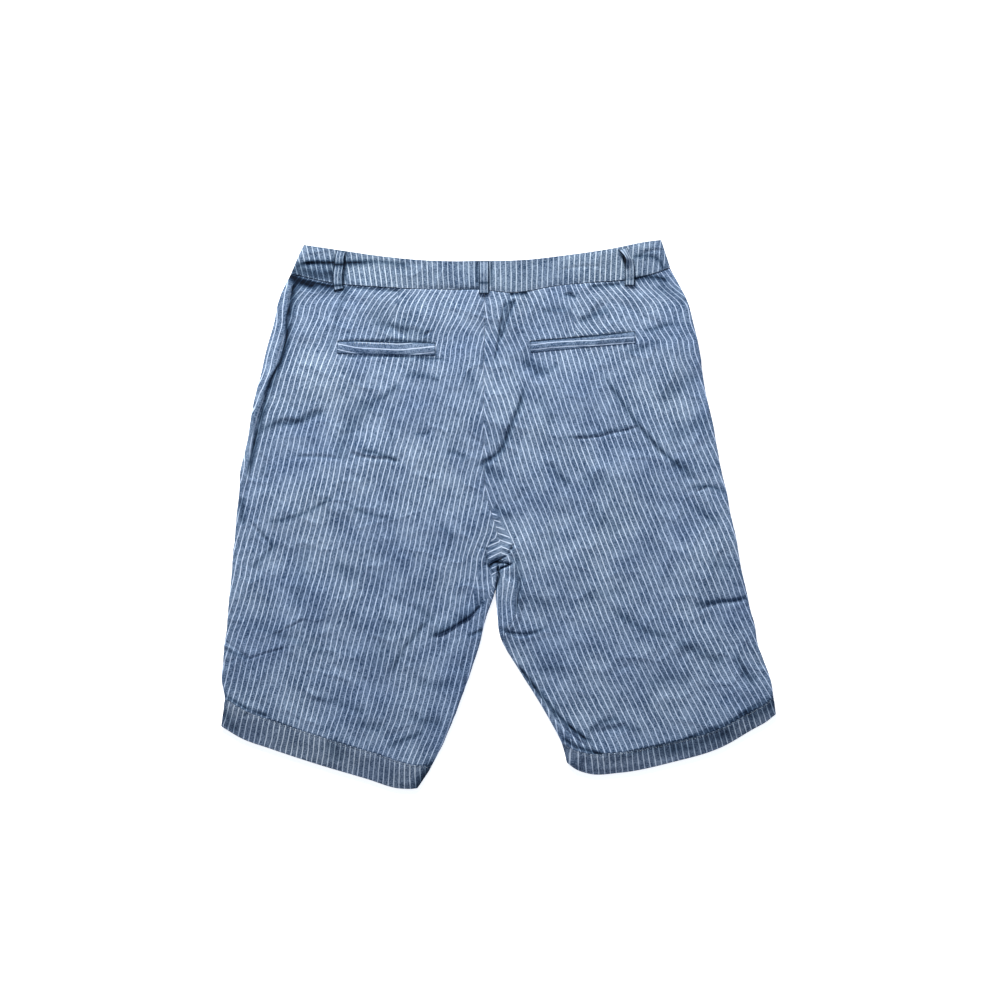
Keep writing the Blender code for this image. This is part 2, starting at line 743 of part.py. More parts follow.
def hole_cutters(x, y):
    """Four drills through the button, in a collection of their own."""
    cutters = bpy.data.collections.new("cutters")
    bpy.context.scene.collection.children.link(cutters)
    reach = BUTTON_HOLE_PITCH / math.sqrt(2.0)
    for i in range(4):
        angle = math.radians(45.0 + 90.0 * i)
        drill = bmesh.new()
        bmesh.ops.create_cone(
            drill,
            cap_ends=True,
            segments=BUTTON_HOLE_SIDES,
            radius1=BUTTON_HOLE_RADIUS * MM,
            radius2=BUTTON_HOLE_RADIUS * MM,
            depth=3.0 * BUTTON_THICKNESS * MM,
        )
        mesh = bpy.data.meshes.new("button_hole")
        drill.to_mesh(mesh)
        drill.free()
        cutter = bpy.data.objects.new("button_hole_%d" % i, mesh)
        offset = (reach * math.cos(angle), reach * math.sin(angle), 0.5 * BUTTON_THICKNESS)
        cutter.location = placed(np.array((x, y, 0.0)) + offset)
        cutter.hide_render = True
        cutter.display_type = "WIRE"
        cutters.objects.link(cutter)
    return cutters


def main():
    for obj in list(bpy.data.objects):
        bpy.data.objects.remove(obj, do_unlink=True)
    pieces = [waistband()]
    for name, leg in (("left", LEFT), ("right", RIGHT)):
        pieces.append(panel("back_panel_" + name, leg, back_arcs))
        pieces.append(panel("front_panel_" + name, leg, front_arcs))
        pieces.append(hem("hem_" + name, leg))
        loop_x = CENTRE_FRONT + leg.hand * FRONT_LOOP_OFFSET
        pieces.append(front_loop("belt_loop_front_" + name, loop_x))
    for name, rows in BACK_LOOPS.items():
        pieces.append(back_loop(name, rows))
    for name, sizes in WELTS.items():
        pieces.append(welt(name, *sizes))
    band_middle = 0.5 * (lookup(WAIST_TOP, BUTTON_X) + lookup(WAIST_SEAM, BUTTON_X))
    pieces.append(button("waist_button", BUTTON_X, float(band_middle)))
    shorts = bpy.data.collections.new("bermuda_shorts")
    bpy.context.scene.collection.children.link(shorts)
    for piece in pieces:
        shorts.objects.link(piece)


main()
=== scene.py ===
"""Bermuda shorts of blue pinstriped chambray, lying flat with the back uppermost.

Sizes and places are in millimetres, waist towards +Y, and are turned into metres when a mesh is
made. The tables of the form are those of part.py. Each leg is a flattened tube of cloth: a row
crosses it from the side edge to the centre seam or the inseam, and an arc follows the tube round
that row, with 0 at the middle of the side edge, negative over the top (the back of the garment)
and positive underneath (the front). Places read off the photograph are in its pixels and are
turned into millimetres by from_photo().
"""

import math

import bmesh
import bpy
import numpy as np
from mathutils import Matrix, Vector


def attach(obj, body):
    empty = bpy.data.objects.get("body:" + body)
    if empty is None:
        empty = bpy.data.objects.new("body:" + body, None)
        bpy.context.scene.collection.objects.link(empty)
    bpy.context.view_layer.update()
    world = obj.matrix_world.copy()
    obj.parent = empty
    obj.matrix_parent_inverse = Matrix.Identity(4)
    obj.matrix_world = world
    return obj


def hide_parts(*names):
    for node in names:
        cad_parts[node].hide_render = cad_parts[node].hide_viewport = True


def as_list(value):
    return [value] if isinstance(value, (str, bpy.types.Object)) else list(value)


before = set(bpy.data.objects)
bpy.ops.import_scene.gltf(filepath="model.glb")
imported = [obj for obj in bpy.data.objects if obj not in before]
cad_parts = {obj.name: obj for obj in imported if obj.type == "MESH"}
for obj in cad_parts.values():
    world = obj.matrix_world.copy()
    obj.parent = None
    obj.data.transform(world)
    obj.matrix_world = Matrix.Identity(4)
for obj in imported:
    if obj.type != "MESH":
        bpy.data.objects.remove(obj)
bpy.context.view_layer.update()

MM = 0.001
ORIGIN = np.array((0.0, 1.1, 0.0))  # the middle of the garment's box, on the floor
PHOTO_MIDDLE = (498.5, 515.5)  # the pixel that shows the tables' zero point
MM_PER_PIXEL = 1.2

# Cloth and sewing
CLOTH = 1.0
HEM_CLOTH = 1.6
BAND_CLOTH = 1.4
LOOP_CLOTH = 1.2
WELT_CLOTH = 1.2
SHELL_CLOTH = 0.8  # thickness of a shell
SEAM = 0.3
EDGE_SOFTNESS = 0.8
TURNED_HEIGHT = 2.0  # of a turned strip's roll, at most and by its width
TURNED_SLOPE = 0.14
TURNED_RUNOUT = 9.0  # over what distance its roll falls back to the panel
STRIPE_PITCH = 6.3

# The side edge of each leg from the waist seam to the hem's fold: x, y, and the width of the
# front panel that is turned onto the top there.
LEFT_SIDE = (
    (-249, 290, 5), (-263, 258.5, 12.5), (-270, 228.5, 17.5), (-278.5, 198.5, 17.5), (-285, 168.5, 15.5),
    (-291.5, 142, 11.5), (-296.5, 114.5, 7), (-302, 84.5, 6), (-309, 54.5, 10), (-311, 27, 5),
    (-314, 3, 0), (-316, -24.5, 0), (-318, -45, 0), (-319, -66.5, 0), (-321, -89.5, 0), (-323, -111, 0),
    (-325, -132.5, 0), (-328, -155.5, 0), (-330, -177, 0), (-332, -198.5, 0), (-328.5, -219.5, 0),
    (-332.5, -252.5, 0),
)
RIGHT_SIDE = (
    (206, 297.5, 0), (225, 262, 0), (234, 232, 0), (240.5, 202, 0), (245, 172, 0), (250, 142, 0),
    (257, 113.5, 0), (262, 84.5, 0), (267.5, 54.5, 0), (274, 28, 0), (278.5, 3, 0), (284.5, -24.5, 0),
    (287.5, -45, 0), (292, -66.5, 0), (297.5, -89.5, 0), (302, -111, 0), (308, -132.5, 0), (311, -153, 0),
    (319, -174.5, 0), (326.5, -196, 0), (330, -218, 0), (332.5, -238, 0),
)
# The centre seam from the waist to the fork, and on to where the legs part: x, y.
CENTRE = (
    (-17, 270), (-16.5, 246.5), (-16.5, 220), (-17.5, 191.5), (-17.5, 162.5), (-17.5, 135),
    (-17.5, 107.5), (-17, 78.5), (-17, 51), (-14.5, 24.5), (-8.5, 3), (0, -24.5), (4, -41.5), (0, -65.5),
    (-3.5, -89.5),
)
# The inseam edge of each leg from there to the hem's fold: x, y.
LEFT_INSEAM = (
    (-15, -124), (-24, -160), (-36, -195), (-49, -230), (-63, -266), (-80, -300.5), (-98, -328),
)
RIGHT_INSEAM = (
    (-1.5, -119.5), (3.5, -149.5), (21.5, -180.5), (41, -210.5), (59, -240.5), (75, -270.5), (82, -296),
)
# Rows where the front panel is turned onto the top along the inseam: row, width.
LEFT_INSEAM_TURNED = ((13, 0), (14, 6), (15, 0))
RIGHT_INSEAM_TURNED = (
    (13, 0), (14, 25), (15, 22), (16, 2), (17, 0), (18, 6), (19, 11), (20, 22), (21, 8),
)
FORK_ROW = 12  # the centre seam ends here
LEGS_ROW = 14  # the legs part here
HEM_ROW = 20  # the hem is stitched here
LAST_ROW = 21

# The waist seam and the top of the waistband: x, y.
WAIST_SEAM = (
    (-249, 290), (-201, 279), (-148, 274), (-90, 271.5), (-26, 270.5), (26, 267.5), (60, 274), (110, 279),
    (151, 282.5), (190, 291.5), (206, 297.5),
)
WAIST_TOP = (
    (-233.5, 324.5), (-212, 321.5), (-182, 317), (-145, 311.5), (-88, 306), (-27, 305), (26, 306),
    (77, 311.5), (130, 319), (182, 329), (195, 330.5),
)
WAIST_TOP_CENTRE = -17.5
WAIST_BLEND_ROWS = 4.0  # the rows below the waist that still follow its seam

# How far a row bows towards the hem, by its share of the way from the side to the inseam.
LEFT_HEM_BOW = ((0, 0), (0.1, 6.5), (0.25, 8), (0.5, 8.5), (0.75, 7), (0.9, 6.5), (1, 0))
RIGHT_HEM_BOW = (
    (0, 0), (0.05, 7), (0.1, 11), (0.25, 24), (0.5, 29), (0.75, 27), (0.9, 19), (0.96, 10), (1, 0),
)

# The hollow between the two layers, by height on the garment: y, gap.
HOLLOW = (
    (-330, 1), (-290, 1.3), (-220, 1.7), (-120, 2.1), (-40, 2.4), (60, 2.3), (180, 1.9), (262, 1.5),
    (290, 1), (331, 0.7),
)
HEM_HOLLOW_LOSS = 0.4

# Broad swells of the back: the ends of the ridge, its half width and its height.
SWELLS = (
    (-84, -132, -34, -94, 18, 1.0),  # left thigh
    (84, 104, 172, 121, 20, 0.9),  # right seat
    (22, 236, 2, 172, 16, 0.8),  # right of the centre
    (226, -88, 284, -80, 18, 0.9),  # right knee
    (-250, -120, -176, -84, 20, 0.7),  # left knee
    (-176, 74, -104, 70, 20, 0.7),  # left seat
)

# The front closure, under the garment
CENTRE_FRONT = -17.0
LAP = 30.0  # how far the left end of the waistband runs on below the right end
LAP_RISE = BAND_CLOTH + SEAM
LAP_CLEAR = 0.9  # the lap's lower edge stays this far above the waist seam
LAP_MARGIN = 10.0  # the back is lifted this far past the lap, and slopes down from there
LAP_SLOPE = 26.0
LAP_STEP = (22.0, 16.0)  # the upper end starts to rise so far past the lap, over what distance
BUTTON_X = CENTRE_FRONT + 0.5 * LAP
BUTTON_RADIUS = 7.5
BUTTON_THICKNESS = 2.4
FRONT_LOOP_OFFSET = 95.0
LOOP_WIDTH = 11.5
LOOP_TAIL = 7.0  # how far a front loop runs below the waist seam

# What lies between the front and the floor lifts it: x, half width of the flat, slope, height.
LIFTS = (
    (BUTTON_X, BUTTON_RADIUS + 12.0, 30.0, BUTTON_THICKNESS + SEAM),
    (CENTRE_FRONT - FRONT_LOOP_OFFSET, 0.5 * LOOP_WIDTH + 32.0, 26.0, LOOP_CLOTH + SEAM),
    (CENTRE_FRONT + FRONT_LOOP_OFFSET, 0.5 * LOOP_WIDTH + 32.0, 26.0, LOOP_CLOTH + SEAM),
)
LIFT_FLAT_BELOW_SEAM = 14.0
LIFT_FADE_BELOW_SEAM = 56.0

# Back loops: x and y of the middle line, clearance above the cloth, turn about its own line.
# The right one is turned less than its solid, so that it doesn't shade its own lower half.
BACK_LOOPS = {
    "belt_loop_back_left": (
        (-188.5, 317, 0, 0), (-190.5, 309, 0.9, 0), (-191, 299.5, 0.5, 0), (-192.5, 288.5, 1.1, 0),
        (-192.5, 278, 0.4, 0), (-191, 270.5, 0, 0),
    ),
    "belt_loop_back_center": (
        (-17.5, 304.5, 0, 0), (-17.5, 298, 1, 0), (-17.5, 290, 1.6, 0), (-17.5, 282, 1, 0),
        (-17.5, 275, 0.3, 0), (-17.5, 265.5, 0, 0),
    ),
    "belt_loop_back_right": (
        (148.9, 319.4, 0, 20), (152.2, 313.4, 0, 44), (154.8, 308.4, 0, 47), (156.4, 303.4, 0, 26),
        (157, 298, 0, 6), (157.2, 291, 0, 0), (157.2, 283, 0, 0), (156.8, 275.4, 0, 0),
    ),
}

# Welts: middle x and y, length, height, and the angle it rises to the right.
WELT_CLEAR = 0.45
WELTS = {
    "pocket_welt_left": (-134.5, 200.5, 117.5, 15.5, -1.2),
    "pocket_welt_right": (101.0, 208.0, 126.0, 14.0, 5.2),
}

# Stripes of the back panels: a row of the photograph, and where numbered stripes cross it.
# Beside a dart the numbers leave out what the dart swallows.
LEFT_STRIPES = (
    (291, ((5, 332.5), (10, 361), (15, 393), (17, 404.5), (22, 430.5), (27, 457), (32, 484))),
    (300, ((5, 325), (10, 355.2), (15, 384), (17.5, 398.2), (22.5, 426), (32.5, 481))),
    (320, ((5, 318), (10, 345.2), (15, 372), (18.4, 390.5), (23.4, 418.5), (33.4, 472.8))),
    (338, ((5, 309.5), (10, 339), (15, 366), (20, 391), (25, 414), (30, 439.5), (35, 465))),
    (362, ((5, 301.2), (10, 329.5), (15, 355.8), (20, 381.5), (25, 409), (30, 434.5), (39, 479.5))),
    (390, ((5, 292.8), (10, 319.9), (15, 346.9), (20, 374.2), (25, 401.7), (30, 427.5), (40, 477.4))),
    (420, ((5, 283.1), (10, 311), (15, 337.5), (20, 364.8), (25, 392.6), (30, 419.3), (40, 469.2))),
    (480, ((5, 268.4), (10, 296), (15, 322), (20, 349.1), (25, 376.4), (30, 403.5), (40, 454.7))),
    (540, ((5, 254), (10, 280.5), (15, 307.8), (20, 335), (25, 362.4), (30, 389.6), (40, 442.2))),
    (600, ((5, 239.1), (10, 266.2), (15, 292.8), (20, 320.4), (25, 348.2), (30, 376.2), (40, 428.6))),
    (660, ((10, 248.2), (15, 276.3), (20, 304.5), (25, 332.7), (30, 360.6), (35, 388.9), (40, 416.3))),
    (720, ((10, 233.2), (15, 261.2), (20, 289), (25, 316.8), (30, 345), (35, 373), (40, 401.1))),
    (780, ((15, 243), (25, 297.5), (40, 378.9))),
)
RIGHT_STRIPES = (
    (288, ((10, 502), (15, 526), (20, 555), (27.2, 592), (32.2, 623), (37.2, 651))),
    (
        300,
        ((10, 506.8), (15, 532), (20, 559), (23.8, 577.8), (27.8, 602.8), (33.8, 639.8), (41.8, 687.5)),
    ),
    (328, ((10, 513), (15, 541.2), (20, 568.2), (24, 587.5), (29, 618.2), (35, 652.8), (40, 681))),
    (352, ((5, 496.5), (10, 522.8), (15, 549.6), (20, 575.6), (25, 602), (30, 629), (40, 684.2))),
    (380, ((5, 506), (10, 531.2), (15, 558), (20, 584.5), (25, 611), (30, 638.4), (39, 689.5))),
    (420, ((0, 493.6), (5, 519.8), (10, 545.8), (15, 571.8), (20, 598.2), (25, 625.4), (35, 681.1))),
    (480, ((0, 510.3), (5, 538), (10, 565.6), (15, 593.2), (20, 620.9), (25, 648.2), (35, 704.8))),
    (540, ((0, 535), (5, 561.8), (10, 589.2), (15, 616.5), (20, 644.4), (25, 673), (35, 731))),
    (600, ((0, 556.3), (5, 584.2), (10, 612.2), (15, 640.3), (20, 668.7), (25, 697.2), (30, 726.3))),
    (660, ((0, 579.8), (5, 608.7), (10, 637.8), (15, 666.9), (20, 695.7), (25, 725), (30, 754.3))),
    (720, ((0, 607.8), (5, 637.6), (10, 667.4), (15, 697.4), (20, 727.8), (25, 758.7))),
    (750, ((0, 621.8), (5, 651.4), (10, 681.4), (15, 712.3))),
)
# Darts: the seam line in the photograph, and the stripes swallowed at rows of it.
LEFT_DART = (
    ((400, 288), (397, 305), (393.5, 325), (391, 341)), ((286, 3.1), (300, 2.5), (320, 1.6), (341, 0)),
)
RIGHT_DART = (
    ((569.5, 286), (571.5, 305), (574, 325), (576, 341)), ((286, 2.8), (300, 2.2), (328, 1), (341, 0)),
)
# Beside the fork the left leg's stripes are crowded: photo row, stripes; from and over which pixels.
# Right of a line they spread again instead, down to the long crease of that leg.
LEFT_BEND = ((515, 0), (532, 0.18), (545, 0.55), (556, 0.78), (572, 0.5), (604, 0.38), (640, 0.3))
BEND_ACROSS = (452.0, 22.0)
BEND_ENDS = ((434, 637), (445, 633), (460, 623.5), (472, 616), (480, 605), (500, 590))
SPREAD_LINE = ((566, 478.6), (580, 476), (592, 473.6), (606, 470.5))
LEFT_SPREAD = ((566, 0), (572, -0.2), (580, -0.47), (588, -1), (596, -1.5), (604, -1.9), (612, -2.3))
# Folds over the fork: the fold's line in the photograph, from where down and over what distance
# its stripes turn, how many stripes they are turned by at a place and how that grows across and
# down, and the side of the line that is turned (1 is right).
LEFT_FORK = (
    ((491, 541), (488, 545.5), (486.3, 549), (486.3, 553), (487.3, 560), (489, 566), (491, 574)),
    (536, 6), (2.54, 487, 548, -0.108, 0.125), 1,
)
RIGHT_FORK = (
    (
        (493, 505), (497, 515), (499.5, 520), (503.5, 527), (506, 531), (509.5, 536), (512.4, 541),
        (513, 544.5), (511, 549), (508.5, 554), (507, 558),
    ),
    (506, 6), (-1.92, 496, 525, -0.121, -0.09), -1,
)
# Stripes of the strips of the front that are turned up beside the fork
LEFT_STRIP = (
    (560, ((0, 484.9), (2, 496.5))), (575, ((-2, 485.8), (0, 497.4))), (600, ((-5, 487), (-3, 498.6))),
)
RIGHT_STRIP = (
    (560, ((0, 499.6), (1, 504.8), (2, 509.4), (3, 514), (4, 519.2))),
    (580, ((0, 498.8), (1, 504), (2, 509.6), (3, 514.4), (4, 519.5))),
    (597, ((0, 497), (1, 502), (2, 506.6), (3, 511.6), (4, 516.9))),
    (630, ((0, 498.5), (1, 503.5), (2, 508.5), (3, 513.7), (4, 519.2))),
)
# That strip starts on the back panel, just below the pit of the fork: its outer edge there.
STRIP_EDGE = ((563, 516.4), (572, 518), (582, 519.3), (593, 519.4), (611, 516.3))
# Stripes of the waistband's back: how far they lean to the right on the way down, by pixel across.
BAND_LEAN = ((290, 0.27), (340, 0.17), (400, 0.09), (480, 0.02), (560, -0.03), (620, -0.06), (665, -0.09))
BAND_STRIPE = (296.0, 268.0)  # one stripe of the band passes here

# Creases of the back, read off the photograph: points in its pixels, then in millimetres the
# trough's depth (negative for a ridge) and half width. Where a swell runs beside it come the
# swell's height and how far it reaches, and -1 where it is right of the direction of travel.
BACK_CREASES = (
    # legs
    (((432, 637), (445, 633), (460, 623.5), (472, 616), (480, 605)), 1, 1.7, 1.9, 17),
    (((427, 619), (408, 645), (395, 666), (384, 688)), 0.55, 5, 0.5, 20, -1),
    (((473, 634.5), (483, 629.5)), 0.6, 1.4, 0.3, 6),
    (((414.5, 554), (416, 580), (418, 607)), 0.4, 3.2, 0.2, 12, -1),
    (((248, 659), (268, 652), (289, 647)), 0.5, 1.1, 0.35, 10),
    (((276, 634), (293, 625), (309, 616.5)), 0.5, 1.1, 0.35, 10),
    (((224, 641), (236, 649), (250, 660)), 0.6, 2, 0.6, 9, -1),
    (((250, 521), (260, 533), (269, 542)), 0.5, 2.4, 0.3, 9),
    (((306, 699), (320, 701), (334, 706)), 0.6, 4.5, 0.3, 12),
    (((379, 742), (391, 735), (404, 730)), 0.8, 4, 0.5, 10),
    (((239, 716), (254, 714), (270, 717)), 0.6, 3.6, 0.3, 9),
    (((748, 599), (730, 601.5), (713, 604), (697, 611)), 1, 3, 0.8, 16, -1),
    (((742, 640), (752, 652), (758, 664)), 0.8, 2, 0.7, 9),
    (((628, 724), (611, 729), (592, 731)), 0.8, 4, 0.5, 14, -1),
    (((644, 631), (657, 638)), 0.7, 3, 0.2, 8),
    (((676, 659), (690, 650), (703, 647)), 0.7, 6, 0.5, 16),
    (((607, 676), (622, 668), (640, 662)), 0.5, 5, 0.3, 16),
    (((700, 686), (716, 694), (735, 698)), 0.5, 4, 0.3, 12),
    (((502, 629), (511, 633), (522, 635.5), (536, 634)), 1, 1.6, 0.6, 8, -1),
    # seat
    (((270, 438), (282, 422), (303, 422), (319, 413), (328, 410)), 1.1, 6.5, 0.7, 16),
    (((296, 457), (317, 456), (338, 458)), 0.6, 2.4, 0.3, 9),
    (((348, 452), (365, 457), (386, 459), (401, 462)), 0.9, 2.3, 0.5, 10),
    (((386, 439.5), (401, 438.5)), -0.3, 1),
    (((350, 531), (372, 524), (395, 519), (431, 508)), -0.35, 1.6),
    (((318, 503), (335, 500), (352, 501)), -0.3, 1.6),
    (((569, 438), (584, 438), (601, 436), (610, 433.4), (628, 429.6), (641, 425.5)), 1.1, 1.2, 0.6, 10),
    (((640, 427), (646, 436), (656.5, 449.5), (667, 459)), 1.4, 3, 0.9, 12),
    (((676, 461), (685, 471), (691, 482)), 1.2, 5.5, 0.5, 14),
    (((696, 491.5), (708, 487)), 0.8, 1.3, 0.3, 7),
    (((524, 383), (521, 410), (515, 419), (500, 451), (484, 465), (472, 470)), 0.6, 3.4, 0.35, 14),
    (((516.5, 298), (510.3, 312), (506.2, 323), (502, 335), (498, 346)), 0.6, 1.5, 0.4, 9),
    (((505.6, 300), (503, 313), (500.2, 329), (498.1, 342), (495.5, 358)), 0.6, 1.4, 0.3, 7, -1),
    (((526, 365), (541, 375)), 0.7, 5, 0.3, 12),
    (((590, 313), (606, 304)), 0.8, 5, 0.4, 12),
    (((389, 325), (398, 331), (407, 336)), 0.9, 3.6, 0.4, 10),
    (((424, 335.5), (433, 331)), 0.9, 1.4, 0.2, 5),
    (((310, 294), (345, 299), (372, 305)), 0.5, 6, 0.3, 14),
    (((604, 300), (628, 306), (655, 322), (668, 340)), 0.6, 6, 0.4, 16),
    (((276, 391), (290, 402), (298, 418)), 0.5, 5, 0.3, 12),
    # waist
    (((303, 264.5), (318, 264), (337, 265.5)), 1.5, 1.5, 1.2, 7),
    (((343, 266), (356, 264), (372, 261.5)), 1.3, 1.5, 0.8, 6),
    (((303, 255.5), (318, 252), (334, 250)), -0.35, 1.1),
    (((374, 265), (400, 266), (425, 268.5)), -0.35, 1.2),
    (((560, 270), (585, 266.5), (603, 267)), 0.5, 2, 0.3, 6),
    (((641, 254), (653, 250.5), (664, 251)), 0.8, 2, 0.4, 6),
    (((510, 295.6), (520, 293.8), (529, 292.2)), 1.5, 1.2, 0.4, 5),
    (((565, 294.8), (573, 294.4)), 1.3, 1.3, 0.3, 5),
    # side roll and inseam roll
    (((296.5, 283), (291.5, 299), (291, 318), (289.5, 331), (287, 343), (282.5, 352), (280, 363)),
     2.5, 3.6, 0.4, 12, -1),
    (((280, 363), (270.5, 384), (263, 407), (258.3, 421), (254, 448), (251, 475), (240.5, 511)),
     1.4, 2.2, 0.4, 12, -1),
    (((514, 663), (530, 681), (546, 704), (561, 724.5), (579, 740.5), (588, 746)), 1.5, 1.5, 0.3, 8),
    # fork
    (((486.2, 549), (486.3, 555), (488, 564)), 1.2, 1.3, 0.9, 10, -1),
    (((513.2, 544.5), (511, 549), (508.3, 554.5)), 1.3, 1.2, 0.9, 10),
    (((489.4, 567), (492, 564), (496, 562), (505, 562.4)), 1.3, 2),
    (((494, 560), (504, 562.6), (513, 564.6)), 1.3, 1.6),
    (((496, 561), (501, 558.6), (506.6, 556)), 1, 1.4),
    (((497, 570.4), (503, 567.4), (511.5, 564.6)), 1.3, 1.6, 0.3, 4),
    (((509, 572), (506.5, 590), (508, 618)), 0.5, 8),
    (((497, 570), (498.5, 576), (497.8, 582), (496.2, 590)), 1.2, 1.7, 0.2, 5),
    (((520.5, 578), (519.8, 585), (518.8, 593), (516.3, 611)), 1.2, 1.5, 0.8, 9),
    (((478.4, 566), (476, 580), (473.6, 592), (471, 604)), 0.35, 1.6, 0.1, 9),
    (((498, 498), (501, 512), (506, 526), (511, 538)), 0.7, 5, 0.3, 9),
)
